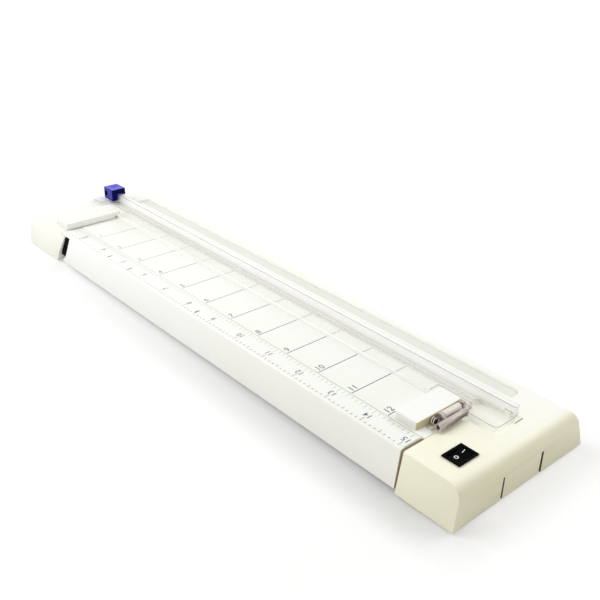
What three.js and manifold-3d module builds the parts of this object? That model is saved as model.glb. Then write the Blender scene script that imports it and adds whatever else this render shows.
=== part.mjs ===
// Sliding paper trimmer with a swing-out rule, a lifting clear rail and a lit cutting line.
// Every length is in millimetres. Lengths are first set out on the rule: x runs along the cut
// from the rule's zero, y runs to the back from the seam of the swing arm, z up from the bed's top.
// The last lines move that frame to the middle of the footprint on the resting plane.
import * as THREE from 'three';
import { mergeVertices } from 'three/addons/utils/BufferGeometryUtils.js';
import Module from 'manifold-3d';

const wasm = await Module();
wasm.setup();

// Fits shared by all pieces
const seat_gap = 0.3;          // pieces that rest against each other
const run_gap = 0.4;           // pieces that slide or turn past each other
const overrun = 1;             // how far a cutting body passes a face
const arc_steps = 6;           // facets in a quarter of a rounded edge

// Case
const case_left = -51;
const case_right = 363.6;
const case_front = -14.5;      // front edge of the top
const case_back = 77;          // back edge of the top
const case_height = 24.5;
const front_flare = 2.5;       // how far the front wall comes out at its foot
const back_flare = 10;
const end_round = 8;           // rounding of the two ends of the top
const front_round = 1.2;
const back_round = 5;
const wall = 2.2;
const top_wall = 3.4;
const cover_thickness = 1.8;
const foot_height = 1;
const foot_radius = 5.5;
const foot_inset_x = 13;
const foot_inset_y = 11;

// Bay of the swing arm
const bay_right = 329.3;       // left edge of the right cap, at the top
const bay_right_foot = 328.2;  // and at its foot
const bay_left_top = -0.9;     // right edge of the left end block, at the top
const bay_left_foot = -8.4;    // and at its foot
const end_step_top = 4.7;      // right edge of the end block's step under the arm's lug, drawn
const end_step_foot = -11.1;   // out to the top and to the foot
const seam_y = 0.3;            // back of the bay

// Cutting line
const cut_y = 45.1;
const strip_width = 3.2;
const strip_depth = 2;
const strip_left = -40;
const strip_right = 343;
const groove_width = 1;
const groove_depth = 1;

// Printed bed
const bed_thickness = 1.5;
const bed_inset = 0.2;         // bed's right edge from the right cap
const bed_back = cut_y - strip_width / 2 - run_gap;
const bed_right = bay_right - bed_inset;

// Swing arm
const arm_left_top = 10.6;     // left edge of its skirt, at the top
const arm_left_foot = 2;
const arm_end_gap = 0.9;
const arm_clearance = 2.4;     // from the arm's foot to the case's foot
const arm_height = case_height - arm_clearance;
const arm_wall = 1.8;
const arm_top_wall = 2;
const arm_rib_pitch = 40;
const arm_rib_thickness = 1.6;
const arm_rib_depth = 6;
const scale_sheet = 0.5;
const scale_margin = 0.9;      // rim of the arm round the rule sheet
const rule_offset = 57;        // number N of the arm's rule stands at N inches less this
const arm_pivot_y = -13.3;
const arm_pivot_x = cut_y - rule_offset - arm_pivot_y;
const arm_pin_radius = 0.9;
const arm_lug_radius = 1.9;
const arm_lower_lug_radius = 3.2;
const arm_lug_thickness = 2;
const arm_foot_radius = 4;
const arm_foot_x = 300;
const hinge_block_back = -3;
const hinge_block_sunk = 0.3;  // its upright front face from the front edge of the top

// Paper guides
const guide_height = 4.7;
const guide_width = 17.8;
const guide_edge = 0.9;
const guide_corner = 1.6;      // upright corners, seen from above
const guide_hole_length = 3.2;
const guide_hole_inset = 0.6;
const guide_hole_height = 1.5;
const left_guide_front = -10.5;
const left_guide_back = 33;
const right_guide_left = 304.9;
const right_guide_right = right_guide_left + guide_width;
const right_guide_front = 1.6;
const right_guide_back = 36;

// Clear rail, set out from the cutting line
const rail_lift = 0.35;        // gap for the sheet under the rail
const slot_front_reach = 1;    // front side of the blade's slot, from the cut
const slot_back_reach = 1.4;
const track_width = 3.9;
const flange_width = 10.7;
const wall_thickness = 3.5;
const slot_front = cut_y - slot_front_reach;
const wall_front = cut_y + slot_back_reach;
const wall_back = wall_front + wall_thickness;
const track_front = slot_front - track_width;
const flange_front = track_front - flange_width;
const flange_thickness = 3;
const flange_chamfer = 0.7;
const flange_left = 0.6;
const track_thickness = 1.25;
const track_top = rail_lift + track_thickness;
const wall_top = 7;
const wall_groove_width = 1.4;
const wall_groove_depth = 0.5;
const rail_left = -39.8;
const rail_bridge = 2.2;       // end piece that ties the wall to the track
const right_bridge = 5.6;
const tail_corner = 3;
const tab_right = -27.5;
const tab_width = 8.7;
const tab_corner = 1.5;
const guide_notch = 2.4;       // clearance of the flange round the right guide
const guide_notch_back = 1.4;

// Rail hinge, set out from the right guide
const hinge_reach = 2.6;       // from the guide to the pin
const hinge_x = right_guide_right + hinge_reach;
const hinge_z = 3.9;
const hinge_pin_radius = 0.9;
const hinge_pin_front = 15.2;
const hinge_pin_back = 33.6;
const hinge_ear_radius = 2.1;
const hinge_ear_width = 2;
const hinge_ear_drop = 0.3;    // upper edge of an ear's arm below the ear's top
const barrel_radius = 1.9;
const barrel_length = 12.3;
const barrel_front = hinge_pin_front + hinge_ear_width + run_gap;
const barrel_back = barrel_front + barrel_length;
const barrel_web = 1;          // foot of the barrel past its middle
const hinge_tube_radius = 2;
const hinge_tube_wall = 1;
const hinge_tube_reach = 4;    // from the pin to the tube, both along y
const hinge_tube_x = hinge_x + hinge_tube_reach;
const hinge_tube_z = rail_lift + hinge_tube_radius;
const hinge_tube_front = 9.4;
const hinge_tube_bore = 5;
const tail_left = hinge_tube_x - hinge_tube_radius + seat_gap;
const tail_length = 20.9;
const tail_right = tail_left + tail_length;
const rail_inset = 1.9;        // the wall's end from the tail's end
const rail_right = tail_right - rail_inset;
const hinge_pocket_depth = 1.3;
const tail_pocket_depth = 4.3;
const tail_pocket_gap = 1.2;
const pocket_wall = 1.6;
const hinge_spring_radius = 1.75;
const hinge_spring_wire = 0.6;
const hinge_spring_gap = 0.9;  // room that the tube needs when the rail is lifted
const hinge_spring_y = 12.2;
const hinge_spring_z = 2.6;
const hinge_spring_turns = 2;

// Light behind the rail
const window_left = -20;
const window_right = 334.5;
const window_clearance = 2.4;  // from the rail's wall to the window
const window_width = 18.5;
const window_corner = 4;
const window_front = wall_back + window_clearance;
const window_back = window_front + window_width;
const window_sunk = 1.1;       // how far the window lies under the case's top
const window_bevel = 0.9;
const window_thickness = 1.2;
const light_slot_width = 9;
const led_board_thickness = 1.2;
const led_board_width = 12;
const led_size = 3;
const led_height = 0.6;
const led_count = 12;

// Blade carriage
const cap_left = -37;
const cap_width = 12.7;
const cap_right = cap_left + cap_width;
const cap_middle = (cap_left + cap_right) / 2;
const press_travel = 0.9;
const leg_clearance = 0.5;     // pressed cap above the track
const blade_thickness = 0.4;
const shoe_roof = 0.8;
const shoe_wall = 0.7;
const shoe_runner = 2;         // length of each front leg of the shoe
const shoe_clearance = 1.4;    // shoe's legs above the track
const spring_room = 2.4;
const cap_roof_wall = 1.3;
const cap_lip = 1.1;           // back lip of the cap
const cap_lip_foot = 6.4;
const cap_edge = 0.9;
const cap_skin = 0.8;
const cap_front = track_front + run_gap;
const cap_leg_back = cut_y - blade_thickness / 2 - seat_gap;
const cap_leg_foot = track_top + press_travel + leg_clearance;
const cap_under = wall_top + press_travel + seat_gap;
const shoe_front = cap_leg_back + seat_gap;
const shoe_back = wall_back + seat_gap + shoe_wall;
const shoe_foot = track_top + shoe_clearance;
const shoe_top = wall_top + seat_gap + shoe_roof;
const cap_back = shoe_back + seat_gap + cap_lip;
const cap_roof = shoe_top + spring_room;   // ceiling of the pocket inside the cap
const cap_top = cap_roof + cap_roof_wall;
const dimple_radius = 9;
const dimple_depth = 0.9;
const cap_window_depth = 1.3;
const cap_window_edge = 1.7;   // rim of the window in the cap's front
const cap_window_step = 0.9;
const blade_length = 5.8;
const blade_left = cap_middle - blade_length / 2;
const blade_right = cap_middle + blade_length / 2;
const blade_bite = 0.3;        // how far the pressed blade enters the strip's groove
const blade_tip = press_travel - blade_bite;
const blade_tip_share = 0.35;  // place of the tip along the blade
const blade_shoulder = 3.6;
const blade_top = 9.4;
const rivet_radius = 0.8;
const rivet_head_radius = 1.2;
const rivet_head = 0.4;
const rivet_z = 5.6;
const rivet_seat = 2;          // depth of the rivet's hole in the cap
const press_spring_radius = 1.3;
const press_spring_wire = 0.4;
const press_spring_turns = 2;

// Switch
const switch_left = 342.7;
const switch_right = 353.6;
const switch_front = -4;
const switch_back = 10.5;
const switch_depth = 12;
const switch_flange = 0.7;     // rim that lies on the case
const switch_rim_height = 0.6;
const switch_wall_x = 1.6;     // from the rim's edge to the rocker's opening
const switch_wall_y = 1.6;
const rocker_gap = 0.35;
const rocker_end_gap = 0.9;    // room that the tilting ends need
const rocker_crown = 0.9;
const rocker_dip_share = 0.9;  // the middle's dip against the crown
const rocker_taper_share = 0.86;
const rocker_heel_share = 0.3;
const rocker_depth = 3.1;
const rocker_well = 5.6;       // depth of the opening below the rocker's axis
const rocker_tilt = 8;         // degrees each way
const rocker_axis_z = -3.2;
const terminal_width = 4;
const terminal_length = 5;
const terminal_thickness = 0.8;

// Batteries and their door
const cell_radius = 5.25;
const cell_length = 44.5;
const cell_count = 3;
const cell_gap = 0.35;
const cell_tip_radius = 1.9;
const cell_tip = 0.8;
const cell_wall = 1.8;
const contact_thickness = 0.5;
const contact_room = 5;
const cell_spring_wire = 0.5;
const cell_spring_radius = 2.2;
const cell_spring_turns = 2;
const door_y = 34.35;          // middle of the door
const door_width = 32;
const door_thickness = 1.6;
const door_tongue_height = 13.2;
const door_tongue_thickness = 1.8;
const door_slit = 1.5;         // open slit on each side of the tongue
const door_grip_count = 4;
const door_grip = 0.8;
const door_grip_pitch = 2.4;
const door_grip_inset = 5.4;
const door_grip_length = 16;

// Screws of the bottom cover
const screw_radius = 1.4;
const screw_length = 9;
const screw_head_radius = 2.7;
const screw_head_height = 1.2;
const screw_slot = 0.7;
const screw_slot_share = 0.6;  // slot against the head, across and deep
const boss_radius = 3.6;
const screw_left_inset = 13;
const screw_right_inset = 10;
const screw_left_x = case_left + screw_left_inset;
const screw_right_x = case_right - screw_right_inset;
const screw_middle_x = 150;
const screw_front_y = -4;
const screw_back_y = 73;
const screw_middle_y = 10;
const screw_corner_x = 336.5;
const screw_corner_y = -7.5;

// Colours and finishes
const plastic = (color, roughness) => new THREE.MeshStandardMaterial({ color, roughness, metalness: 0 });
const steel = (color, roughness) => new THREE.MeshStandardMaterial({ color, roughness, metalness: 1 });
const ivory = plastic(0xf1eeda, 0.45);
const white = plastic(0xf6f6f2, 0.4);
const black = plastic(0x111113, 0.35);
const blue = plastic(0x2a26b8, 0.3);
const grey = plastic(0xb9bab5, 0.6);
const rubber = plastic(0x3a3a3a, 0.8);
const frosted = plastic(0xe4e7dd, 0.7);
const board_green = plastic(0x2c6b45, 0.6);
const cell_wrap = plastic(0x3f4247, 0.35);
const clear = new THREE.MeshStandardMaterial({
  color: 0xf4f8f8, roughness: 0.08, metalness: 0, transparent: true, opacity: 0.35,
});
const bright_steel = steel(0xc9ccd0, 0.25);
const nickel = steel(0xb8b4aa, 0.3);

// Turns a geometry into a solid that can be joined and cut
function solid(geometry) {
  geometry.deleteAttribute('normal');
  geometry.deleteAttribute('uv');
  const merged = mergeVertices(geometry, 1e-4);
  return new wasm.Manifold(new wasm.Mesh({
    numProp: 3,
    vertProperties: new Float32Array(merged.attributes.position.array),
    triVerts: new Uint32Array(merged.index.array),
  }));
}

// Turns a solid into a named mesh
function piece(name, body, material) {
  const result = body.getMesh();
  const geometry = new THREE.BufferGeometry();
  geometry.setAttribute('position', new THREE.BufferAttribute(new Float32Array(result.vertProperties), 3));
  geometry.setIndex(new THREE.BufferAttribute(new Uint32Array(result.triVerts), 1));
  geometry.computeVertexNormals();
  const mesh = new THREE.Mesh(geometry, material);
  mesh.name = name;
  return mesh;
}

// A block between two corners
function block(x0, x1, y0, y1, z0, z1) {
  const geometry = new THREE.BoxGeometry(x1 - x0, y1 - y0, z1 - z0);
  geometry.translate((x0 + x1) / 2, (y0 + y1) / 2, (z0 + z1) / 2);
  return solid(geometry);
}

// An outline through points, or a ready shape
function outline(points) {
  if (points instanceof THREE.Shape) return points;
  return new THREE.Shape(points.map(([a, b]) => new THREE.Vector2(a, b)));
}

// A plan outline (x, y) raised from z0 to z1
function plate(points, z0, z1) {
  const geometry = new THREE.ExtrudeGeometry(outline(points), {
    depth: z1 - z0, bevelEnabled: false, curveSegments: arc_steps,
  });
  geometry.translate(0, 0, z0);
  return solid(geometry);
}

// A section (y, z) drawn along x
function along_x(points, x0, x1) {
  const geometry = new THREE.ExtrudeGeometry(outline(points), {
    depth: x1 - x0, bevelEnabled: false, curveSegments: arc_steps,
  });
  geometry.applyMatrix4(new THREE.Matrix4().set(0, 0, 1, x0, 1, 0, 0, 0, 0, 1, 0, 0, 0, 0, 0, 1));
  return solid(geometry);
}

// A section (x, z) drawn along y
function along_y(points, y0, y1) {
  const geometry = new THREE.ExtrudeGeometry(outline(points), {
    depth: y1 - y0, bevelEnabled: false, curveSegments: arc_steps,
  });
  geometry.applyMatrix4(new THREE.Matrix4().set(1, 0, 0, 0, 0, 0, -1, y1, 0, 1, 0, 0, 0, 0, 0, 1));
  return solid(geometry);
}

// An upright round bar
function round_bar(radius, x, y, z0, z1, sides = 20) {
  const geometry = new THREE.CylinderGeometry(radius, radius, z1 - z0, sides);
  geometry.rotateX(Math.PI / 2);
  geometry.translate(x, y, (z0 + z1) / 2);
  return solid(geometry);
}

// A round bar along y
function bar_y(radius, x, z, y0, y1, sides = 20) {
  const geometry = new THREE.CylinderGeometry(radius, radius, y1 - y0, sides);
  geometry.translate(x, (y0 + y1) / 2, z);
  return solid(geometry);
}

// A rectangle with one radius for each corner, from low left and round to the left
function round_rect(x0, x1, y0, y1, low_left, low_right, high_right, high_left) {
  const shape = new THREE.Shape();
  shape.moveTo(x0 + low_left, y0);
  shape.lineTo(x1 - low_right, y0);
  if (low_right > 0) shape.absarc(x1 - low_right, y0 + low_right, low_right, -Math.PI / 2, 0);
  shape.lineTo(x1, y1 - high_right);
  if (high_right > 0) shape.absarc(x1 - high_right, y1 - high_right, high_right, 0, Math.PI / 2);
  shape.lineTo(x0 + high_left, y1);
  if (high_left > 0) shape.absarc(x0 + high_left, y1 - high_left, high_left, Math.PI / 2, Math.PI);
  shape.lineTo(x0, y0 + low_left);
  if (low_left > 0) shape.absarc(x0 + low_left, y0 + low_left, low_left, Math.PI, Math.PI * 1.5);
  return shape;
}

// A coil with straight ends, about an axis along z from z0 up, as one unbroken tube
function coil(radius, wire, turns, z0, z1) {
  const steps_per_turn = 8;
  const sides = 5;
  const steps = Math.round(turns * steps_per_turn);
  const centres = [];
  for (let i = 0; i <= steps; i += 1) {
    const angle = (i / steps_per_turn) * Math.PI * 2;
    const height = z0 + wire / 2 + (z1 - z0 - wire) * (i / steps);
    centres.push(new THREE.Vector3(radius * Math.cos(angle), radius * Math.sin(angle), height));
  }
  const first = new THREE.Vector3(radius, -wire, z0 + wire / 2);
  const last_angle = (steps / steps_per_turn) * Math.PI * 2;
  const tangent = new THREE.Vector3(-Math.sin(last_angle), Math.cos(last_angle), 0);
  const last = centres[steps].clone().addScaledVector(tangent, wire);
  const path = [first, ...centres, last];
  const positions = [];
  path.forEach((centre, i) => {
    const ahead = path[Math.min(i + 1, path.length - 1)];
    const behind = path[Math.max(i - 1, 0)];
    const forward = ahead.clone().sub(behind).normalize();
    const side = new THREE.Vector3().crossVectors(forward, new THREE.Vector3(0, 0, 1)).normalize();
    const up = new THREE.Vector3().crossVectors(side, forward).normalize();
    for (let k = 0; k < sides; k += 1) {
      const turn = (k / sides) * Math.PI * 2;
      const point = centre.clone();
      point.addScaledVector(side, Math.cos(turn) * (wire / 2));
      point.addScaledVector(up, Math.sin(turn) * (wire / 2));
      positions.push(point.x, point.y, point.z);
    }
  });
  const faces = [];
  for (let i = 0; i < path.length - 1; i += 1) {
    for (let k = 0; k < sides; k += 1) {
      const a = i * sides + k;
      const b = i * sides + ((k + 1) % sides);
      faces.push(a, a + sides, b, b, a + sides, b + sides);
    }
  }
  const end = (path.length - 1) * sides;
  for (let k = 1; k < sides - 1; k += 1) {
    faces.push(0, k, k + 1);
    faces.push(end, end + k + 1, end + k);
  }
  const geometry = new THREE.BufferGeometry();
  geometry.setAttribute('position', new THREE.Float32BufferAttribute(positions, 3));
  geometry.setIndex(faces);
  return { geometry, path, steps_per_turn };
}

// Prints the least gap between neighbouring turns of a coil, measured on its centre line
function report_coil(name, made, wire) {
  let least = Infinity;
  const { path, steps_per_turn } = made;
  for (let i = 0; i < path.length; i += 1) {
    for (let j = i + steps_per_turn / 2; j < path.length; j += 1) {
      least = Math.min(least, path[i].distanceTo(path[j]) - wire);
    }
  }
  console.log(`${name}: least gap between turns ${least.toFixed(2)} mm`);
}

// How far the front and back walls have come out at a depth z below the top
const front_at = (z) => case_front + (front_flare / case_height) * z;
const back_at = (z) => case_back - (back_flare / case_height) * z;
const case_foot = -case_height;
const cover_top = case_foot + cover_thickness;

// The case's cross-section (y, z), drawn in by a margin
function case_section(margin, top, foot) {
  const shape = new THREE.Shape();
  shape.moveTo(front_at(foot) + margin, foot);
  shape.lineTo(front_at(top - front_round) + margin, top - front_round);
  shape.quadraticCurveTo(front_at(top) + margin, top, case_front + front_round + margin, top);
  shape.lineTo(case_back - back_round - margin, top);
  shape.quadraticCurveTo(case_back - margin, top, back_at(top - back_round) - margin, top - back_round);
  shape.lineTo(back_at(foot) - margin, foot);
  shape.closePath();
  return shape;
}

// The case's long outline (x, z), drawn in by a margin, with its two rounded ends
function case_side(margin, top, foot) {
  const radius = Math.max(end_round - margin, front_round);
  return round_rect(case_left + margin, case_right - margin, foot, top, 0, 0, radius, radius);
}

// Where the leaning ends of the bay and the arm stand at a depth z below the top
const bay_left_at = (z) => bay_left_top - ((bay_left_foot - bay_left_top) / case_height) * z;
const bay_right_at = (z) => bay_right - ((bay_right_foot - bay_right) / case_height) * z;
const arm_left_at = (z) => arm_left_top - ((arm_left_foot - arm_left_top) / arm_height) * z;
const end_step_at = (z) => end_step_top - ((end_step_foot - end_step_top) / case_height) * z;
const end_step_reach = end_step_top - bay_left_top;
const end_step_meet = -case_height * end_step_reach / (end_step_reach + bay_left_foot - end_step_foot);
const arm_block_top = -arm_top_wall - run_gap;

// The bay that the swing arm lies in, grown by a margin
function arm_bay(margin) {
  const top = overrun;
  const foot = case_foot - overrun;
  return along_y([
    [bay_left_at(top) - margin, top], [bay_left_at(foot) - margin, foot],
    [bay_right_at(foot) + margin, foot], [bay_right_at(top) + margin, top],
  ], front_at(case_foot) - wall - overrun, seam_y + margin);
}

// The battery bay's inner box
const cells_width = cell_count * 2 * cell_radius + (cell_count + 1) * cell_gap;
const cells_front = door_y - cells_width / 2;
const cells_back = door_y + cells_width / 2;
const cells_right = case_right - door_tongue_thickness - cell_wall - seat_gap * 2;
const cells_left = cells_right - cell_length - cell_tip - contact_room;
const cells_foot = case_foot + door_thickness + seat_gap;
const cells_top = cells_foot + 2 * cell_radius + cell_gap * 2;
const cell_z = cells_foot + cell_radius + cell_gap / 2;
const cell_right = cells_right - seat_gap * 2 - contact_thickness;
const cell_left = cell_right - cell_length - cell_tip;
const contact_face = cells_left + seat_gap + contact_thickness;
const door_left = cells_left + cell_wall;
const door_front = door_y - door_width / 2;
const door_back = door_y + door_width / 2;

const screw_places = [
  [screw_left_x, screw_front_y],
  [screw_left_x, screw_back_y],
  [screw_middle_x, screw_middle_y],
  [screw_middle_x, screw_back_y],
  [screw_corner_x, screw_corner_y],
  [screw_right_x, screw_back_y],
];

// A long window outline with round corners
const window_outline = (margin) => round_rect(
  window_left + margin, window_right - margin, window_front + margin, window_back - margin,
  ...Array(4).fill(window_corner - margin),
);
const light_slot_y = (window_front + window_back) / 2;

// The sunk edge of the window: a funnel between two long outlines
function window_funnel() {
  const levels = 3;
  const floor = -window_sunk - window_thickness - seat_gap;
  let body = plate(window_outline(window_bevel), floor, -window_sunk + overrun);
  for (let i = 0; i < levels; i += 1) {
    const share = (i + 1) / levels;
    const margin = window_bevel * (1 - share * share);
    const z = -window_sunk * (1 - share);
    body = body.add(plate(window_outline(margin), z - window_sunk / levels, z + overrun));
  }
  return body;
}

// The bed's outline, stepped back at the rail's hinge and grown by a margin
function bed_outline(margin, front) {
  const left = bay_left_top + seat_gap * 2 - margin;
  const right = bed_right - seat_gap + margin;
  const step_x = hinge_x - hinge_ear_radius - seat_gap + margin;
  const step_y = hinge_tube_front - tail_pocket_gap - seat_gap + margin;
  const back = bed_back + margin;
  return [[left, front], [right, front], [right, step_y], [step_x, step_y], [step_x, back], [left, back]];
}

// The step of the end block under the arm's upper lug, bored for the arm's pin
function end_step() {
  const lap = wall / 2;
  const foot = case_foot;
  const step = along_y([
    [bay_left_at(arm_block_top) - lap, arm_block_top], [bay_left_at(end_step_meet) - lap, end_step_meet],
    [bay_left_at(end_step_meet), end_step_meet], [end_step_at(arm_block_top), arm_block_top],
  ], front_at(foot) - overrun, hinge_block_back);
  return step.intersect(along_x(case_section(0, 0, foot), bay_left_foot - wall, end_step_top))
    .subtract(round_bar(
      arm_pin_radius + seat_gap / 2, arm_pivot_x, arm_pivot_y, foot, arm_block_top + overrun, 16,
    ));
}

function upper_case() {
  const foot = case_foot;
  const far_front = case_front - front_flare - overrun;
  const far_back = case_back + back_flare + overrun;
  const outer = along_x(case_section(0, 0, foot), case_left - overrun, case_right + overrun)
    .intersect(along_y(case_side(0, 0, foot), far_front, far_back));
  const below = foot - overrun;
  const inner = along_x(case_section(wall, -top_wall, below), case_left - overrun, case_right + overrun)
    .intersect(along_y(case_side(wall, -top_wall, below), far_front, far_back));
  let body = outer.subtract(arm_bay(0)).subtract(inner.subtract(arm_bay(wall))).add(end_step());
  const boss_foot = cover_top + seat_gap;
  screw_places.forEach(([x, y]) => {
    const post = round_bar(boss_radius, x, y, boss_foot, -top_wall + wall / 2, 16);
    body = body.add(post);
  });
  body = body.add(block(
    hinge_x - hinge_ear_radius - pocket_wall, tail_right + tail_pocket_gap + pocket_wall,
    flange_front - tail_pocket_gap - pocket_wall, wall_back + tail_pocket_gap + pocket_wall,
    -tail_pocket_depth - pocket_wall, -top_wall / 2,
  ));
  screw_places.forEach(([x, y]) => {
    body = body.subtract(round_bar(screw_radius, x, y, boss_foot - overrun, boss_foot + screw_length, 12));
  });
  body = body.subtract(plate(
    bed_outline(seat_gap, seam_y - overrun), -bed_thickness - seat_gap, overrun,
  ));
  body = body.subtract(block(
    strip_left, strip_right, cut_y - strip_width / 2 - seat_gap, cut_y + strip_width / 2 + seat_gap,
    -strip_depth - seat_gap, overrun,
  ));
  body = body.subtract(plate(round_rect(
    hinge_x - hinge_ear_radius, tail_right + tail_pocket_gap,
    flange_front - tail_pocket_gap, wall_back + tail_pocket_gap, 0, tail_corner, tail_corner, 0,
  ), -tail_pocket_depth, overrun));
  body = body.subtract(plate(round_rect(
    hinge_x + run_gap, hinge_tube_x + hinge_tube_radius + tail_pocket_gap,
    hinge_tube_front - tail_pocket_gap, flange_front, 0, tail_corner / 2, 0, 0,
  ), -hinge_pocket_depth, overrun));
  body = body.subtract(window_funnel());
  body = body.subtract(block(
    window_left + end_round, window_right - end_round,
    light_slot_y - light_slot_width / 2, light_slot_y + light_slot_width / 2, -top_wall - overrun, 0,
  ));
  body = body.subtract(block(
    switch_left + switch_flange, switch_right - switch_flange,
    switch_front + switch_flange, switch_back - switch_flange, -top_wall - overrun, overrun,
  ));
  body = body.subtract(block(
    case_right - door_tongue_thickness - wall, case_right + overrun,
    door_front - seat_gap, door_back + seat_gap,
    case_foot - overrun, case_foot + door_tongue_height + seat_gap,
  ));
  return body;
}

function bottom_cover() {
  const inset = wall + seat_gap;
  const across = along_x(
    [[front_at(case_foot) + inset, case_foot], [back_at(case_foot) - inset, case_foot],
      [back_at(cover_top) - inset, cover_top], [front_at(cover_top) + inset, cover_top]],
    case_left + inset, case_right - inset,
  );
  let body = across.subtract(arm_bay(inset));
  body = body.add(block(
    cells_left - cell_wall, cells_right + cell_wall, cells_front - cell_wall, cells_back + cell_wall,
    cover_top - cover_thickness / 2, cells_top + cell_wall,
  ));
  body = body.subtract(block(
    cells_left, cells_right, cells_front, cells_back, cells_foot - overrun, cells_top,
  ));
  body = body.subtract(block(
    door_left - seat_gap, case_right, door_front - seat_gap, door_back + seat_gap,
    case_foot - overrun, case_foot + door_thickness + seat_gap,
  ));
  screw_places.forEach(([x, y]) => {
    body = body.subtract(round_bar(
      screw_radius + seat_gap, x, y, case_foot - overrun, cover_top + overrun, 12,
    ));
    body = body.subtract(round_bar(
      screw_head_radius + seat_gap, x, y, case_foot - overrun, case_foot + screw_head_height, 16,
    ));
  });
  return body;
}

// The battery door, with the tongue that fills the notch in the case's end between two slits
function battery_door() {
  const right = case_right - seat_gap / 2;
  const tongue_left = right - door_tongue_thickness;
  const tongue_front = door_front - seat_gap + door_slit;
  const tongue_back = door_back + seat_gap - door_slit;
  let body = block(door_left, tongue_left, door_front, door_back, case_foot, case_foot + door_thickness);
  body = body.add(block(
    tongue_left - overrun, right, tongue_front, tongue_back, case_foot, case_foot + door_thickness,
  ));
  body = body.add(block(
    tongue_left, right, tongue_front, tongue_back, case_foot, case_foot + door_tongue_height,
  ));
  for (let i = 0; i < door_grip_count; i += 1) {
    const x = right - door_grip_inset - i * door_grip_pitch;
    body = body.subtract(block(
      x - door_grip / 2, x + door_grip / 2, door_y - door_grip_length / 2, door_y + door_grip_length / 2,
      case_foot - overrun, case_foot + door_grip / 2,
    ));
  }
  return body;
}

function battery(index) {
  const y = cells_front + cell_gap + cell_radius + index * (2 * cell_radius + cell_gap);
  const flip = index % 2 === 1 ? -1 : 1;
  const profile = [
    [0, 0], [cell_radius - cell_gap, 0], [cell_radius, cell_gap], [cell_radius, cell_length - cell_gap],
    [cell_radius - cell_gap, cell_length], [cell_tip_radius, cell_length],
    [cell_tip_radius, cell_length + cell_tip], [0, cell_length + cell_tip],
  ].map(([r, h]) => new THREE.Vector2(r, h));
  const geometry = new THREE.LatheGeometry(profile, 20);
  geometry.translate(0, -(cell_length + cell_tip) / 2, 0);
  geometry.rotateZ((-Math.PI / 2) * flip);
  geometry.translate((cell_left + cell_right) / 2, y, cell_z);
  return solid(geometry);
}

// The plate with a coil for each cell, at the inner end of the battery bay
function cell_contacts() {
  let body = block(
    contact_face - contact_thickness, contact_face,
    cells_front + cell_gap, cells_back - cell_gap, cells_foot, cells_top - cell_gap,
  );
  for (let i = 0; i < cell_count; i += 1) {
    const y = cells_front + cell_gap + cell_radius + i * (2 * cell_radius + cell_gap);
    const made = coil(
      cell_spring_radius, cell_spring_wire, cell_spring_turns, -cell_spring_wire / 2,
      cell_left - seat_gap - contact_face,
    );
    if (i === 0) report_coil('battery contact coil', made, cell_spring_wire);
    made.geometry.rotateY(Math.PI / 2);
    made.geometry.translate(contact_face, y, cell_z);
    body = body.add(solid(made.geometry));
  }
  return body;
}

function cell_bridge() {
  const x = cells_right - seat_gap;
  return block(
    x - contact_thickness, x, cells_front + cell_gap, cells_back - cell_gap, cells_foot, cells_top - cell_gap,
  );
}

function bed_plate() {
  return plate(bed_outline(0, seam_y + seat_gap / 2), -bed_thickness, 0);
}

// The soft strip that the blade runs into
function cutting_strip() {
  const low = -strip_depth;
  const high = -seat_gap / 3;
  const half = strip_width / 2;
  const right = hinge_x - hinge_ear_radius - seat_gap;
  return along_x(
    [[cut_y - half, low], [cut_y + half, low], [cut_y + half, high], [cut_y + groove_width / 2, high],
      [cut_y + groove_width / 4, high - groove_depth], [cut_y - groove_width / 4, high - groove_depth],
      [cut_y - groove_width / 2, high], [cut_y - half, high]],
    strip_left + seat_gap, right,
  );
}

function light_window() {
  return plate(window_outline(window_bevel + seat_gap), -window_sunk - window_thickness, -window_sunk);
}

function led_strip() {
  const top = -top_wall - seat_gap;
  const left = window_left + end_round;
  const right = window_right - end_round;
  let body = block(
    left, right, light_slot_y - led_board_width / 2, light_slot_y + led_board_width / 2,
    top - led_board_thickness, top,
  );
  const pitch = (right - left) / led_count;
  for (let i = 0; i < led_count; i += 1) {
    const x = left + pitch * (i + 0.5);
    body = body.add(block(
      x - led_size / 2, x + led_size / 2, light_slot_y - led_size / 2, light_slot_y + led_size / 2,
      top - led_height / 2, top + led_height,
    ));
  }
  return body;
}

// The arm's cross-section (y, z) inside its skirt, drawn in by a margin
function arm_section(margin, top, foot) {
  const shape = new THREE.Shape();
  shape.moveTo(front_at(foot) + margin, foot);
  shape.lineTo(front_at(top - front_round) + margin, top - front_round);
  shape.quadraticCurveTo(front_at(top) + margin, top, case_front + front_round + margin, top);
  shape.lineTo(-margin, top);
  shape.lineTo(-margin, foot);
  shape.closePath();
  return shape;
}

const arm_right_at = (z) => bay_right_at(z) - arm_end_gap;
const arm_foot_z = -arm_height;
const lug_top = arm_foot_z + arm_lug_thickness;

// A flat lug round the arm's pivot, reaching along to the arm's end
function arm_lug(radius, z0, z1, back) {
  const shape = new THREE.Shape();
  shape.moveTo(arm_left_top + arm_wall, arm_pivot_y - radius);
  shape.lineTo(arm_left_top + arm_wall, back);
  shape.lineTo(arm_pivot_x - radius / 2, back);
  shape.lineTo(arm_pivot_x - radius, back - radius);
  shape.lineTo(arm_pivot_x - radius, arm_pivot_y);
  shape.absarc(arm_pivot_x, arm_pivot_y, radius, Math.PI, Math.PI * 1.5);
  return plate(shape, z0, z1).intersect(
    along_x(arm_section(0, 0, arm_foot_z), arm_pivot_x - radius - overrun, arm_left_top + arm_wall * 2),
  );
}

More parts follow.
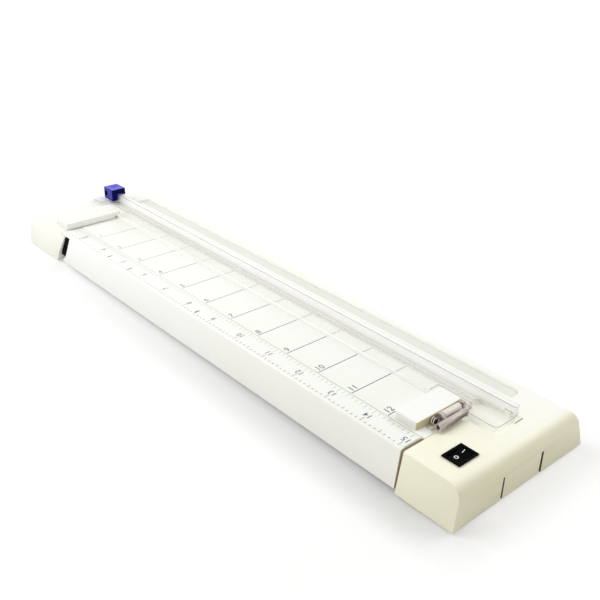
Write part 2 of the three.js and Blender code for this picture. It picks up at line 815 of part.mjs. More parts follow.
// The skirt between its two leaning ends, each drawn in by a margin
function arm_skirt(margin, top, foot) {
  const above = top + overrun;
  const below = foot - overrun;
  const ends = along_y([
    [arm_left_at(above) + margin, above], [arm_left_at(below) + margin, below],
    [arm_right_at(below) - margin, below], [arm_right_at(above) - margin, above],
  ], front_at(below) - overrun, overrun);
  return along_x(arm_section(margin, top, foot), arm_left_foot - overrun, bay_right).intersect(ends);
}

function swing_arm() {
  let body = arm_skirt(0, 0, arm_foot_z);
  body = body.subtract(arm_skirt(arm_wall, -arm_top_wall, arm_foot_z - overrun));
  const rib_foot = -arm_top_wall - arm_rib_depth;
  for (let x = arm_left_top + arm_rib_pitch; x < bay_right - arm_rib_pitch / 2; x += arm_rib_pitch) {
    const rib = arm_section(arm_wall / 2, -arm_top_wall / 2, rib_foot);
    body = body.add(along_x(rib, x, x + arm_rib_thickness));
  }
  body = body.add(arm_lug(arm_lug_radius, -arm_top_wall, 0, 0));
  body = body.add(arm_lug(arm_lower_lug_radius, arm_foot_z, lug_top, hinge_block_back));
  body = body.add(block(
    arm_foot_x - arm_foot_radius - arm_wall, arm_foot_x + arm_foot_radius + arm_wall,
    front_at(0) + arm_wall / 2, -arm_wall / 2, arm_foot_z, lug_top,
  ));
  body = body.subtract(round_bar(
    arm_pin_radius + seat_gap, arm_pivot_x, arm_pivot_y, arm_foot_z - overrun, -arm_top_wall / 2, 16,
  ));
  return body.subtract(block(
    arm_pivot_x - arm_lug_radius, arm_right_at(0) - scale_margin,
    case_front + front_round + scale_margin, -scale_margin, -scale_sheet - seat_gap / 2, overrun,
  ));
}

function arm_scale() {
  const margin = scale_margin + seat_gap;
  return block(
    arm_pivot_x - arm_lug_radius / 2, arm_right_at(0) - margin,
    case_front + front_round + margin, -margin, -scale_sheet, 0,
  );
}

// The dark block that fills the slot beside the left end block and carries the arm's pin
function arm_hinge_block() {
  const top = arm_block_top;
  const foot = lug_top + run_gap;
  const body = along_y([
    [end_step_at(top) + seat_gap, top], [bay_left_at(end_step_meet) + seat_gap, end_step_meet],
    [bay_left_at(foot) + seat_gap, foot], [arm_left_at(foot) - run_gap, foot],
    [arm_left_at(top) - run_gap, top],
  ], case_front + hinge_block_sunk, hinge_block_back);
  return body.subtract(round_bar(
    arm_pin_radius + seat_gap / 2, arm_pivot_x, arm_pivot_y, foot - overrun, top + overrun, 16,
  ));
}

function arm_hinge_pin() {
  return round_bar(
    arm_pin_radius, arm_pivot_x, arm_pivot_y, arm_foot_z + seat_gap, -arm_top_wall / 2 - seat_gap, 16,
  );
}

function arm_foot() {
  const foot = case_foot - foot_height + seat_gap;
  const profile = [
    [0, foot], [arm_foot_radius - foot_height, foot], [arm_foot_radius, foot + foot_height],
    [arm_foot_radius, arm_foot_z - seat_gap], [0, arm_foot_z - seat_gap],
  ].map(([r, z]) => new THREE.Vector2(r, z));
  const geometry = new THREE.LatheGeometry(profile, 20);
  geometry.rotateX(Math.PI / 2);
  geometry.translate(arm_foot_x, (case_front - arm_wall) / 2, 0);
  return solid(geometry);
}

// A raised paper guide with softened upper edges
function guide(left, front, back) {
  const right = left + guide_width;
  const corners = Array(4).fill(guide_corner);
  const across = round_rect(left, right, seat_gap, guide_height, 0, 0, guide_edge, guide_edge);
  const along = round_rect(front, back, seat_gap, guide_height, 0, 0, guide_edge, guide_edge);
  return along_y(across, front, back)
    .intersect(along_x(along, left, right))
    .intersect(plate(round_rect(left, right, front, back, ...corners), seat_gap, guide_height));
}

function left_guide() {
  const hole_back = left_guide_back - guide_corner - guide_hole_inset;
  return guide(-guide_width, left_guide_front, left_guide_back).subtract(block(
    -guide_hole_length / 2, overrun, hole_back - guide_hole_length, hole_back,
    seat_gap - overrun, seat_gap + guide_hole_height,
  ));
}

function right_guide() {
  return guide(right_guide_left, right_guide_front, right_guide_back);
}

function clear_rail() {
  const foot = rail_lift;
  const flange_top = foot + flange_thickness;
  const notch_left = right_guide_left - guide_notch;
  const notch_back = right_guide_back + guide_notch_back;
  const flange = along_x(
    [[flange_front, foot], [track_front, foot], [track_front, flange_top],
      [flange_front + flange_chamfer, flange_top], [flange_front, flange_top - flange_chamfer]],
    flange_left, notch_left,
  );
  const tail = plate(
    round_rect(tail_left, tail_right, flange_front, slot_front, 0, tail_corner, 0, 0), foot, flange_top,
  );
  const behind_guide = block(
    notch_left - overrun, tail_left + overrun, notch_back, track_front, foot, flange_top,
  );
  const tube = bar_y(
    hinge_tube_radius, hinge_tube_x, hinge_tube_z, hinge_tube_front, flange_front + overrun, 18,
  );
  const tube_bore = bar_y(
    hinge_tube_radius - hinge_tube_wall, hinge_tube_x, hinge_tube_z,
    hinge_tube_front - overrun, hinge_tube_front + hinge_tube_bore, 14,
  );
  const track = block(
    rail_left + overrun / 2, rail_right, track_front - overrun / 2, slot_front, foot, track_top,
  );
  const tab = plate(round_rect(
    rail_left, tab_right, track_front - tab_width, track_front, tab_corner, tab_corner, 0, 0,
  ), foot, flange_top);
  const middle = (wall_front + wall_back) / 2;
  const running_wall = along_x(
    [[wall_front, foot], [wall_back, foot], [wall_back, wall_top],
      [middle + wall_groove_width / 2, wall_top], [middle, wall_top - wall_groove_depth],
      [middle - wall_groove_width / 2, wall_top], [wall_front, wall_top]],
    rail_left, rail_right,
  );
  const left_tie = block(
    rail_left, rail_left + rail_bridge, track_front - overrun, wall_front + overrun, foot, track_top,
  );
  const right_tie = block(
    rail_right - right_bridge, tail_right - tail_corner, slot_front - overrun, wall_back - overrun / 2,
    foot, flange_top,
  );
  let body = flange.add(tail).add(behind_guide).add(tube).add(track).add(tab).add(running_wall);
  body = body.add(left_tie).add(right_tie);
  const ear_top = hinge_z + hinge_ear_radius - hinge_ear_drop;
  [hinge_pin_front, hinge_pin_back - hinge_ear_width - seat_gap].forEach((front) => {
    const back = front + hinge_ear_width;
    body = body.add(bar_y(hinge_ear_radius, hinge_x, hinge_z, front, back, 18));
    body = body.add(along_y([
      [hinge_x, hinge_z - hinge_ear_radius / 2], [hinge_tube_x, hinge_tube_z - hinge_tube_radius / 2],
      [hinge_tube_x, hinge_tube_z + hinge_tube_radius / 2], [hinge_x, ear_top],
    ], front, back));
  });
  return body.subtract(tube_bore).subtract(bar_y(
    hinge_pin_radius + seat_gap, hinge_x, hinge_z, hinge_pin_front - overrun, hinge_pin_back + overrun, 16,
  ));
}

function hinge_pin() {
  return bar_y(hinge_pin_radius, hinge_x, hinge_z, hinge_pin_front - overrun / 2, hinge_pin_back, 16);
}

// The fixed barrel that holds the pin, on a foot screwed to the case
function hinge_barrel() {
  let body = bar_y(barrel_radius, hinge_x, hinge_z, barrel_front, barrel_back, 18);
  body = body.add(block(
    right_guide_right + seat_gap, hinge_x + barrel_web, barrel_front, barrel_back, seat_gap, hinge_z,
  ));
  return body.subtract(bar_y(
    hinge_pin_radius + seat_gap / 2, hinge_x, hinge_z, barrel_front - overrun, barrel_back + overrun, 16,
  ));
}

// The coil between the guide and the rail's tube, below the pin
function hinge_spring() {
  const left = right_guide_right + seat_gap;
  const length = hinge_tube_x - hinge_tube_radius - left - hinge_spring_gap;
  const made = coil(hinge_spring_radius, hinge_spring_wire, hinge_spring_turns, 0, length);
  report_coil('hinge spring', made, hinge_spring_wire);
  made.geometry.rotateY(Math.PI / 2);
  made.geometry.translate(left, hinge_spring_y, hinge_spring_z);
  return solid(made.geometry);
}

// The blue cap that is held and pressed
function carriage_cap() {
  const middle_y = (cap_front + cap_back) / 2;
  const corners = Array(4).fill(cap_edge);
  const end_view = round_rect(cap_front, cap_back, cap_leg_foot, cap_top, 0, 0, cap_edge, cap_edge);
  const front_view = round_rect(cap_left, cap_right, cap_leg_foot, cap_top, 0, 0, cap_edge, cap_edge);
  const plan = round_rect(cap_left, cap_right, cap_front, cap_back, ...corners);
  const lip_front = cap_back - cap_lip;
  let body = along_x(end_view, cap_left, cap_right)
    .intersect(along_y(front_view, cap_front - overrun, cap_back + overrun))
    .intersect(plate(plan, cap_leg_foot, cap_top));
  body = body.subtract(along_x(
    [[cap_leg_back, cap_leg_foot - overrun], [cap_back + overrun, cap_leg_foot - overrun],
      [cap_back + overrun, cap_lip_foot], [lip_front, cap_lip_foot], [lip_front, cap_under],
      [cap_leg_back, cap_under]],
    cap_left - overrun, cap_right + overrun,
  ));
  body = body.subtract(block(
    cap_left + cap_skin, cap_right - cap_skin, cap_leg_back, lip_front, cap_under - overrun, cap_roof,
  ));
  const ball = new THREE.SphereGeometry(dimple_radius, 24, 16);
  ball.translate(cap_middle, middle_y, cap_top + dimple_radius - dimple_depth);
  body = body.subtract(solid(ball));
  const window_left_x = cap_left + cap_window_edge;
  const window_top = cap_top - cap_window_edge - cap_edge;
  const window_foot = cap_leg_foot + cap_window_edge;
  body = body.subtract(along_y([
    [window_left_x, window_foot], [cap_middle - cap_skin, window_foot + cap_window_step],
    [cap_middle - cap_skin, window_top], [window_left_x, window_top],
  ], cap_front - overrun, cap_front + cap_window_depth));
  return body.subtract(bar_y(
    rivet_radius + seat_gap / 2, cap_middle, rivet_z,
    cap_leg_back - rivet_seat, cap_leg_back + overrun, 12,
  ));
}

// The shoe that rides on the rail's wall inside the cap
function carriage_shoe() {
  const left = cap_left + cap_skin + seat_gap;
  const right = cap_right - cap_skin - seat_gap;
  const front_face = wall_front - seat_gap;
  const back_face = wall_back + seat_gap;
  const under = wall_top + seat_gap;
  const body = along_x(
    [[shoe_front, shoe_foot], [front_face, shoe_foot], [front_face, under], [back_face, under],
      [back_face, shoe_foot], [shoe_back, shoe_foot], [shoe_back, shoe_top], [shoe_front, shoe_top]],
    left, right,
  );
  return body.subtract(block(
    left + shoe_runner, right - shoe_runner, shoe_front - overrun, front_face - seat_gap,
    0, shoe_top + overrun,
  ));
}

function blade() {
  const front = cap_leg_back + seat_gap;
  const tip_x = blade_left + blade_length * blade_tip_share;
  const body = along_y([
    [blade_left, blade_shoulder], [tip_x, blade_tip], [tip_x + blade_thickness, blade_tip],
    [blade_right, blade_shoulder + blade_thickness], [blade_right, blade_top], [blade_left, blade_top],
  ], front, front + blade_thickness);
  return body.subtract(bar_y(
    rivet_radius + seat_gap / 2, cap_middle, rivet_z, front - overrun, front + overrun, 12,
  ));
}

function blade_rivet() {
  const back = cap_leg_back + seat_gap + blade_thickness;
  const head_front = back + seat_gap / 2;
  const stem = bar_y(
    rivet_radius, cap_middle, rivet_z, cap_leg_back - rivet_seat + seat_gap, head_front + rivet_head / 2, 12,
  );
  return stem.add(bar_y(rivet_head_radius, cap_middle, rivet_z, head_front, head_front + rivet_head, 12));
}

function carriage_spring() {
  const made = coil(
    press_spring_radius, press_spring_wire, press_spring_turns,
    shoe_top + seat_gap / 2, cap_roof - seat_gap / 2,
  );
  report_coil('carriage spring', made, press_spring_wire);
  made.geometry.translate(cap_middle, (wall_front + wall_back) / 2, 0);
  return solid(made.geometry);
}

function switch_body() {
  const inner = switch_flange + seat_gap;
  let body = block(
    switch_left, switch_right, switch_front, switch_back, seat_gap, seat_gap + switch_rim_height,
  );
  body = body.add(block(
    switch_left + inner, switch_right - inner, switch_front + inner, switch_back - inner,
    -switch_depth, seat_gap * 2,
  ));
  body = body.subtract(block(
    switch_left + switch_wall_x, switch_right - switch_wall_x,
    switch_front + switch_wall_y, switch_back - switch_wall_y,
    rocker_axis_z - rocker_well, switch_rim_height + overrun,
  ));
  const middle = (switch_front + switch_back) / 2;
  [-1, 1].forEach((side) => {
    const y = middle + side * terminal_width;
    body = body.add(block(
      (switch_left + switch_right - terminal_width) / 2, (switch_left + switch_right + terminal_width) / 2,
      y - terminal_thickness / 2, y + terminal_thickness / 2,
      -switch_depth - terminal_length, -switch_depth + overrun,
    ));
  });
  return body;
}

// The rocker in its off position: a shallow V whose front half is pushed down
function switch_rocker() {
  const left = switch_left + switch_wall_x + rocker_gap;
  const right = switch_right - switch_wall_x - rocker_gap;
  const half = (switch_back - switch_front) / 2 - switch_wall_y - rocker_end_gap;
  const lift = -rocker_axis_z;
  const shape = new THREE.Shape();
  shape.moveTo(-half, rocker_crown + lift);
  shape.quadraticCurveTo(0, lift - rocker_crown * rocker_dip_share, half, rocker_crown + lift);
  shape.lineTo(half * rocker_taper_share, -rocker_crown);
  shape.lineTo(half * rocker_heel_share, -rocker_depth);
  shape.lineTo(-half * rocker_heel_share, -rocker_depth);
  shape.lineTo(-half * rocker_taper_share, -rocker_crown);
  shape.closePath();
  const geometry = new THREE.ExtrudeGeometry(shape, {
    depth: right - left, bevelEnabled: false, curveSegments: arc_steps * 2,
  });
  geometry.applyMatrix4(new THREE.Matrix4().set(0, 0, 1, 0, 1, 0, 0, 0, 0, 1, 0, 0, 0, 0, 0, 1));
  geometry.rotateX(THREE.MathUtils.degToRad(rocker_tilt));
  geometry.translate(left, (switch_front + switch_back) / 2, rocker_axis_z);
  return solid(geometry);
}

function cover_screw(x, y) {
  const head = case_foot + screw_head_height - seat_gap / 2;
  let body = round_bar(screw_head_radius, x, y, case_foot + seat_gap / 2, head, 16);
  const tip = cover_top + screw_length - overrun;
  body = body.add(round_bar(screw_radius - seat_gap, x, y, head - overrun / 2, tip, 12));
  const reach = screw_head_radius * screw_slot_share;
  const depth = case_foot + screw_head_height * screw_slot_share;
  const half = screw_slot / 2;
  body = body.subtract(block(x - reach, x + reach, y - half, y + half, case_foot - overrun, depth));
  return body.subtract(block(x - half, x + half, y - reach, y + reach, case_foot - overrun, depth));
}

function rubber_foot(x, y) {
  const top = case_foot - seat_gap / 3;
  const foot = case_foot - foot_height;
  const profile = [
    [0, foot], [foot_radius - foot_height / 2, foot], [foot_radius, foot + foot_height / 2],
    [foot_radius, top], [0, top],
  ].map(([r, z]) => new THREE.Vector2(r, z));
  const geometry = new THREE.LatheGeometry(profile, 24);
  geometry.rotateX(Math.PI / 2);
  geometry.translate(x, y, 0);
  return solid(geometry);
}

const machine = new THREE.Group();
const add = (name, body, material) => machine.add(piece(name, body, material));

add('upper_case', upper_case(), ivory);
add('bottom_cover', bottom_cover(), ivory);
add('battery_door', battery_door(), ivory);
for (let i = 0; i < cell_count; i += 1) add(`battery_${i + 1}`, battery(i), cell_wrap);
add('battery_contacts', cell_contacts(), nickel);
add('battery_bridge', cell_bridge(), nickel);
add('bed_plate', bed_plate(), white);
add('cutting_strip', cutting_strip(), grey);
add('light_window', light_window(), frosted);
add('led_strip', led_strip(), board_green);
add('left_guide', left_guide(), ivory);
add('right_guide', right_guide(), ivory);
add('swing_arm', swing_arm(), white);
add('arm_scale', arm_scale(), white);
add('arm_hinge_block', arm_hinge_block(), black);
add('arm_hinge_pin', arm_hinge_pin(), bright_steel);
add('arm_foot', arm_foot(), rubber);
add('clear_rail', clear_rail(), clear);
add('hinge_pin', hinge_pin(), bright_steel);
add('hinge_barrel', hinge_barrel(), white);
add('hinge_spring', hinge_spring(), nickel);
add('carriage_cap', carriage_cap(), blue);
add('carriage_shoe', carriage_shoe(), blue);
add('carriage_spring', carriage_spring(), nickel);
add('blade', blade(), bright_steel);
add('blade_rivet', blade_rivet(), nickel);
add('switch_body', switch_body(), black);
add('switch_rocker', switch_rocker(), black);
screw_places.forEach(([x, y], i) => add(`cover_screw_${i + 1}`, cover_screw(x, y), nickel));
const foot_front = front_at(case_foot) + foot_inset_y;
const foot_back = back_at(case_foot) - foot_inset_y;
[[case_left + foot_inset_x, foot_front], [case_right - foot_inset_x, foot_front],
  [case_right - foot_inset_x, foot_back], [case_left + foot_inset_x, foot_back]].forEach(([x, y], i) => {
  add(`rubber_foot_${i + 1}`, rubber_foot(x, y), rubber);
});

// The origin lies in the middle of the footprint, on the plane that the machine stands on
machine.position.set(
  -(case_left + case_right) / 2,
  -(front_at(case_foot) + back_at(case_foot)) / 2,
  case_height + foot_height,
);

export default machine;
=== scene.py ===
"""The looks of the sliding paper trimmer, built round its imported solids."""
import math

import bmesh
import bpy
from mathutils import Matrix, Vector
from mathutils.bvhtree import BVHTree
from mathutils.kdtree import KDTree


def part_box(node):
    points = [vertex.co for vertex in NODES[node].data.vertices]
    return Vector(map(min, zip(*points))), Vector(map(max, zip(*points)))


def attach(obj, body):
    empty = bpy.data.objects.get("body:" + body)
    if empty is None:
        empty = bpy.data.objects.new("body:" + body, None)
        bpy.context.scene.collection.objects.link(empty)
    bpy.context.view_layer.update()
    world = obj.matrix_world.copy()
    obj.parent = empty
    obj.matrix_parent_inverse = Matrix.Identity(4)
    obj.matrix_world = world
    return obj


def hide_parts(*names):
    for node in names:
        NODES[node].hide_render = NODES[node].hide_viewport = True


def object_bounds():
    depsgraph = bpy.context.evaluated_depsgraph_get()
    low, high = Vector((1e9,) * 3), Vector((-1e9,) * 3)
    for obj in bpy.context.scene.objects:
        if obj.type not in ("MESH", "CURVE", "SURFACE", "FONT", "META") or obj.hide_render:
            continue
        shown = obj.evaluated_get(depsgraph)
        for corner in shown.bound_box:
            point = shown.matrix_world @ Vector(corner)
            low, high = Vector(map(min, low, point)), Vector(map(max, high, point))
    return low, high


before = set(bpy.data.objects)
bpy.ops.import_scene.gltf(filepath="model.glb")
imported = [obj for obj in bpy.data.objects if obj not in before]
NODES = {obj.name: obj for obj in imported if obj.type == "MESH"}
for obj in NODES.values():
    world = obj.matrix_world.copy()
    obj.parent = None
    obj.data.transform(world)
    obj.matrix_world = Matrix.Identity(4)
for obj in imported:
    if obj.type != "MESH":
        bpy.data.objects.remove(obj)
CAD_BOX = [list(corner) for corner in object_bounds()]
LEFT, FRONT = CAD_BOX[0][:2]
RIGHT, BACK, TOP = CAD_BOX[1]
MM = 0.001
INCH = 25.4

# Where the rule starts: x at the left guide's face, y at the arm's seam, z at the bed's top
ZERO = Vector((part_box("left_guide")[1].x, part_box("swing_arm")[1].y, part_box("bed_plate")[1].z))


def at(x, y, z=0.0):
    """A point given in millimetres on the rule, as metres in the model."""
    return ZERO + Vector((x, y, z)) * MM


# Camera: turns in degrees, lens and sensor in millimetres, clipping in metres
CAMERA_PLACE = Vector((376.30, -301.03, 268.69)) * MM
CAMERA_AZIMUTH = 47.833
CAMERA_ELEVATION = 27.429
CAMERA_ROLL = 1.644
LENS = 51.30
SENSOR = 36.0
CLIP_NEAR = 0.01
CLIP_FAR = 20.0

# Lamps: names, places in metres and watts, then the two sides of each in metres
LAMPS = (("front_softbox", (-0.6, -0.65, 0.9), 9.0), ("back_softbox", (0.5, 0.85, 0.95), 6.0))
LAMP_WIDTH = 0.9
LAMP_HEIGHT = 0.7

# Surround: how strongly it lights, how bright it is seen, and the tint of its light
SKY_LIGHT = 0.5
SKY_SEEN = 1.0
SKY_TINT = (1.0, 0.99, 0.96)
PURE_WHITE = (1.0, 1.0, 1.0)

# Floor: half its side in metres, its colour for the light and for the camera, and the glow that
# only the camera sees, which grows from low to high between two distances from its centre
FLOOR_SIZE = 6.0
FLOOR_LIT = (0.86, 0.86, 0.87)
FLOOR_SEEN = (0.55, 0.55, 0.555)
FLOOR_ROUGHNESS = 0.9
GLOW_CENTRE = (0.0, -0.04, 0.0)
GLOW_NEAR = 0.2
GLOW_FAR = 0.5
GLOW_LOW = 0.42
GLOW_HIGH = 0.70

# Painted soft shadow in that glow along the machine's front: where it starts and how far it
# reaches, in metres, and how much of the glow it takes
CONTACT_LEFT = -0.15
CONTACT_REACH = 0.025
CONTACT_SHADE = 0.31

# Dressed solids: how close corners are one, and angles of what counts as flat and as sharp
WELD = 1e-6
FLAT_ANGLE = math.radians(0.6)
SHARP_ANGLE = math.radians(32)
BEVEL_STEPS = 2

# How far edges are eased, in millimetres
BROAD_EASE = 0.3
ROUND_EASE = 0.25
PLAIN_EASE = 0.2
SLIM_EASE = 0.15
FINE_EASE = 0.12
SHEET_EASE = 0.08

# Where an eased edge folds over, its run is eased less, by one of these shares at each try.
# A run goes on where two edges are this straight. A smaller fold than the limit, in square metres,
# is let be, and a fold concerns the runs within so many widths of it.
EASE_SHARES = (0.6, 0.6, 0.6, 0.5, 0.5, 0.0, 0.0, 0.0)
CHAIN_COSINE = 0.6
FOLD_LIMIT = 2e-8
FOLD_REACH = 1.8

# A face looks along an axis where its normal's part on it is more than this
MOSTLY = 0.3
RIGHTWARD = 0.6
UPWARD = 0.8
SIDE_ON = 0.9

# A face is slanted where no part of its normal is more than this
STRAIGHT = 0.97

# Patterns: cells per metre and detail
AGED_PATCHES = (22.0, 4.0)
HANDLING = (60.0, 5.0)
STREAK_LINES = (500.0, 4.0)
SPARK_GRAIN = (2600.0, 2.0)
FLOW_MARKS = (90.0, 3.0)
RUB_MARKS = (700.0, 5.0)
POLISH_WAVES = (240.0, 3.0)
VEIL_CLOUDS = (35.0, 3.0)
VEIL_HANDLING = (60.0, 3.0)
STEEL_TONE = (300.0, 4.0)
STEEL_GLOSS = (1500.0, 3.0)
STEEL_GRAIN = (2000.0, 2.0)
RUBBER_BLOOM = (180.0, 5.0)
RUBBER_GRAIN = (1200.0, 3.0)
INK_PATCHES = (420.0, 4.0)

# How a pattern is drawn out: more cells along an axis where its number is higher
EVEN = (1.0, 1.0, 1.0)
STREAKED = (1.0, 0.15, 1.0)
RUBBED = (1.0, 3.0, 1.0)
GROUND = (1.0, 1.0, 12.0)

# The values between which a pattern, an edge or a way of facing sets in
PATCHES_IN = (0.35, 0.7)
STREAKS_IN = (0.45, 0.6)
FLOW_IN = (0.3, 0.75)
RUBS_IN = (0.4, 0.75)
INK_IN = (0.45, 0.75)
MARKS_IN = (0.3, 0.7)
EDGE_IN = (0.5, 0.56)
LIT_TOP_IN = (0.6, 0.95)
SHADED_END_IN = (0.5, 0.95)
SIDE_IN = (0.2, 0.6)

# How strongly they show, and how much darker or lighter they make a colour
STREAK_SHARE = 0.9
EDGE_SHARE = 0.35
INK_SHARE = 0.7
EDGE_GAIN = 1.05
VEIL_GAIN = 0.985
DULL_GAIN = 0.8
BLOOM_LIFT = 0.06

# Roughness, and how much handling adds to it
HANDLED_FROM = -0.06
HANDLED_TO = 0.08
GLOSSY_MARKED = 0.14
CLEAR_MARKED = 0.1
STEEL_MARKED = 0.15
RUBBER_ROUGHNESS = 0.85
INK_ROUGHNESS = 0.5

# Bumps: strengths, and depths in metres
SPARK_BUMP = 0.25
POLISH_BUMP = 0.1
RUBBER_BUMP = 0.3
SPARK_DEPTH = 0.00003
POLISH_DEPTH = 0.00002
RUBBER_DEPTH = 0.00006

# How far light scatters in plastic, in metres, and how plastic refracts it
SCATTER_RADIUS = (0.0012, 0.0010, 0.0007)
PLASTIC_INDEX = 1.49
GLOSSY_INDEX = 1.5

# Where the plastics' colours change, in millimetres
BACK_STRIP = 12.0
WINDOW_BORDER = 62.6
BORDER_BLUR = 0.5

# Print on the bed and the arm, in millimetres
PRINT_HIGH = 0.03
PRINT_DEEP = 0.02
GRID_FRONT = 0.9
GRID_BACK = 42.2
GRID_WIDTH = 0.56
GRID_COUNT = 12
BED_NUMBER_SIZE = 5.6
BED_NUMBER_Y = 2.0
BED_NUMBER_GAP = 1.3
BED_NUMBER_TURN = math.radians(90)
NUMBER_STROKE = 0.05
NUMBER_STEPS = 4
ARM_FIRST = 3
ARM_LAST = 15
ARM_RULE_OFFSET = 57.0
ARM_NUMBER_SIZE = 5.0
ARM_NUMBER_Y = -5.3
ARM_NUMBER_TURN = math.radians(180)
TICKS_PER_INCH = 8
TICKS_BEFORE = 3
TICK_WIDTH = 0.28

# The arm's ticks: edge and length, then how much longer the inch and half inch ticks are
OUTER_TICK_EDGE = -12.75
OUTER_TICK = 1.5
OUTER_SHARES = (0.9, 0.5)
INNER_TICK_EDGE = -0.9
INNER_TICK = 2.2
INNER_SHARES = (0.3, 0.2)

# Dashes on the arm: x, y, length and width, in millimetres
ARM_DASHES = (
    (57.0, -9.5, 3.6, 0.7), (82.0, -9.5, 3.6, 0.7), (158.0, -9.5, 3.6, 0.8),
    (17.5, -7.0, 9.0, 0.25),
)

# The arm's rule sheet: its colour, and how much further it reaches than its solid, in millimetres
SHEET_COLOUR = (0.92, 0.94, 0.905)
SHEET_GROWTH = 0.24

# Tongue of the battery door, in millimetres
TONGUE_ROOM = 1.5
TONGUE_DEEP = 4.5
TONGUE_SHEET = 2.0
TONGUE_RISE = 0.25

# Room round the window's sunk rim, and the dust and painted shade in the seams beside the bed, in
# millimetres
FUNNEL_ROOM = 2.0
SEAM_ROOM = 0.6
SEAM_DEEP = 3.0

# How much further right than its solid the right guide starts, with the rail's notch, in
# millimetres
GUIDE_SHIFT = 3.1
NOTCH_GAP = 2.4
NOTCH_ROOM = 0.6

# Slit at the arm's right end, in millimetres
ARM_END_ROOM = 0.7
ARM_END_SHIFT = 0.6
ARM_END_REACH = 1.6

# Switch marks, in millimetres from the middle of the switch
MARK_X = -0.5
RING_Y = -2.1
RING_RADIUS = 1.15
RING_STROKE = 0.42
RING_STEPS = 40
BAR_Y = 2.9
BAR_LENGTH = 2.1
BAR_WIDTH = 0.36
MARK_HIGH = 0.04
PAD_STEPS = 12

# Painted shadow of a slit in the case beside the rail's right end, in millimetres on the rule
SLIT_X = 348.95
SLIT_Y = 47.4
SLIT_WIDTH = 0.4
SLIT_LENGTH = 7.0

# Rail, in millimetres on the rule: its wall, flange, painted shade bands, slot, groove and painted
# dark edges
WALL_FRONT = 46.5
FLANGE_FRONT = 29.5
FLANGE_EASE = 1.0
SHADE_FRONT = 39.0
SHADE_BACK = 41.5
SHADE_HIGH = 3.6
SLOT_WIDTH = 3.2
GROOVE_MIDDLE = 1.75
GROOVE_REACH = 1.1
LINE_LOW = 2.0
LINE_WIDTH = 0.3

# Rail hinge, in millimetres
HINGE_TUBE_X = 329.3
HINGE_TUBE_Z = 2.35
HINGE_TUBE_FRONT = 9.4
HINGE_TUBE_RADIUS = 2.0
COIL_WIRE = 0.5
ROD_RADIUS = 0.9
ROD_SUNK = 0.5
ROD_LENGTH = 4.0

# Turns of the hinge coil, and how far its core stays within the wire's middle line, as a share of
# the wire's thickness
COIL_TURNS = 2
CORE_SHARE = 0.6

# Press spring of the carriage, in millimetres
PRESS_WIRE = 0.4
PRESS_TURNS = 2
PRESS_ROOM = 1.0

# Steps in one turn of a coil, and sides of a wire and of a rod
COIL_STEPS = 40
WIRE_SIDES = 10
ROD_SIDES = 20


def node(tree, kind, **settings):
    """A new node with its settings."""
    made = tree.nodes.new(kind)
    for name, value in settings.items():
        setattr(made, name, value)
    return made


def fill(tree, made, *values):
    """Gives a node's first inputs their values, each a socket or a plain value."""
    for target, value in zip(made.inputs, values):
        if isinstance(value, bpy.types.NodeSocket):
            tree.links.new(value, target)
        else:
            target.default_value = value


def maths(tree, operation, first, second):
    """The result of one sum on two values, each a socket or a number."""
    made = node(tree, "ShaderNodeMath", operation=operation)
    fill(tree, made, first, second)
    return made.outputs["Value"]


def combined(tree, x, y, z):
    """A vector from three values, each a socket or a number."""
    made = node(tree, "ShaderNodeCombineXYZ")
    fill(tree, made, x, y, z)
    return made.outputs["Vector"]


def blank(name):
    """A material whose tree holds a principled shader and an output."""
    material = bpy.data.materials.new(name)
    material.use_nodes = True
    tree = material.node_tree
    return material, tree, tree.nodes["Principled BSDF"]


def noise(tree, pattern, stretch=EVEN):
    """A noise pattern on object coordinates."""
    scale, detail = pattern
    place = node(tree, "ShaderNodeTexCoord")
    mapping = node(tree, "ShaderNodeMapping")
    mapping.inputs["Scale"].default_value = stretch
    made = node(tree, "ShaderNodeTexNoise")
    made.inputs["Scale"].default_value = scale
    made.inputs["Detail"].default_value = detail
    tree.links.new(place.outputs["Object"], mapping.inputs["Vector"])
    tree.links.new(mapping.outputs["Vector"], made.inputs["Vector"])
    return made.outputs["Fac"]


def span(tree, value, low, high, new_low=0.0, new_high=1.0):
    """Maps value from one range to another, held at its ends."""
    mapped = node(tree, "ShaderNodeMapRange")
    ends = (("From Min", low), ("From Max", high), ("To Min", new_low), ("To Max", new_high))
    for socket, number in ends:
        mapped.inputs[socket].default_value = number
    tree.links.new(value, mapped.inputs["Value"])
    return mapped.outputs["Result"]


def along(tree, axis, low, high, at_low=0.0, at_high=1.0):
    """A value that runs evenly between two places on an axis."""
    place = node(tree, "ShaderNodeTexCoord")
    parts = node(tree, "ShaderNodeSeparateXYZ")
    tree.links.new(place.outputs["Object"], parts.inputs["Vector"])
    return span(tree, parts.outputs[axis], low, high, at_low, at_high)


def along_length(tree, at_left, at_right):
    """A value that runs evenly from the machine's left end to its right end."""
    return along(tree, "X", LEFT, RIGHT, at_left, at_right)


def mix(tree, factor, first, second):
    """Mixes two colours, each a socket or a written colour."""
    mixed = node(tree, "ShaderNodeMix", data_type="RGBA")
    tree.links.new(factor, mixed.inputs["Factor"])
    for socket, colour in (("A", first), ("B", second)):
        target = [s for s in mixed.inputs if s.name == socket and s.type == "RGBA"][0]
        if isinstance(colour, bpy.types.NodeSocket):
            tree.links.new(colour, target)
        else:
            target.default_value = (*colour, 1.0)
    return [s for s in mixed.outputs if s.type == "RGBA"][0]


def bump(tree, shader, height, strength, distance):
    """Bump on the shader's normal."""
    bumped = node(tree, "ShaderNodeBump")
    bumped.inputs["Strength"].default_value = strength
    bumped.inputs["Distance"].default_value = distance
    tree.links.new(height, bumped.inputs["Height"])
    tree.links.new(bumped.outputs["Normal"], shader.inputs["Normal"])


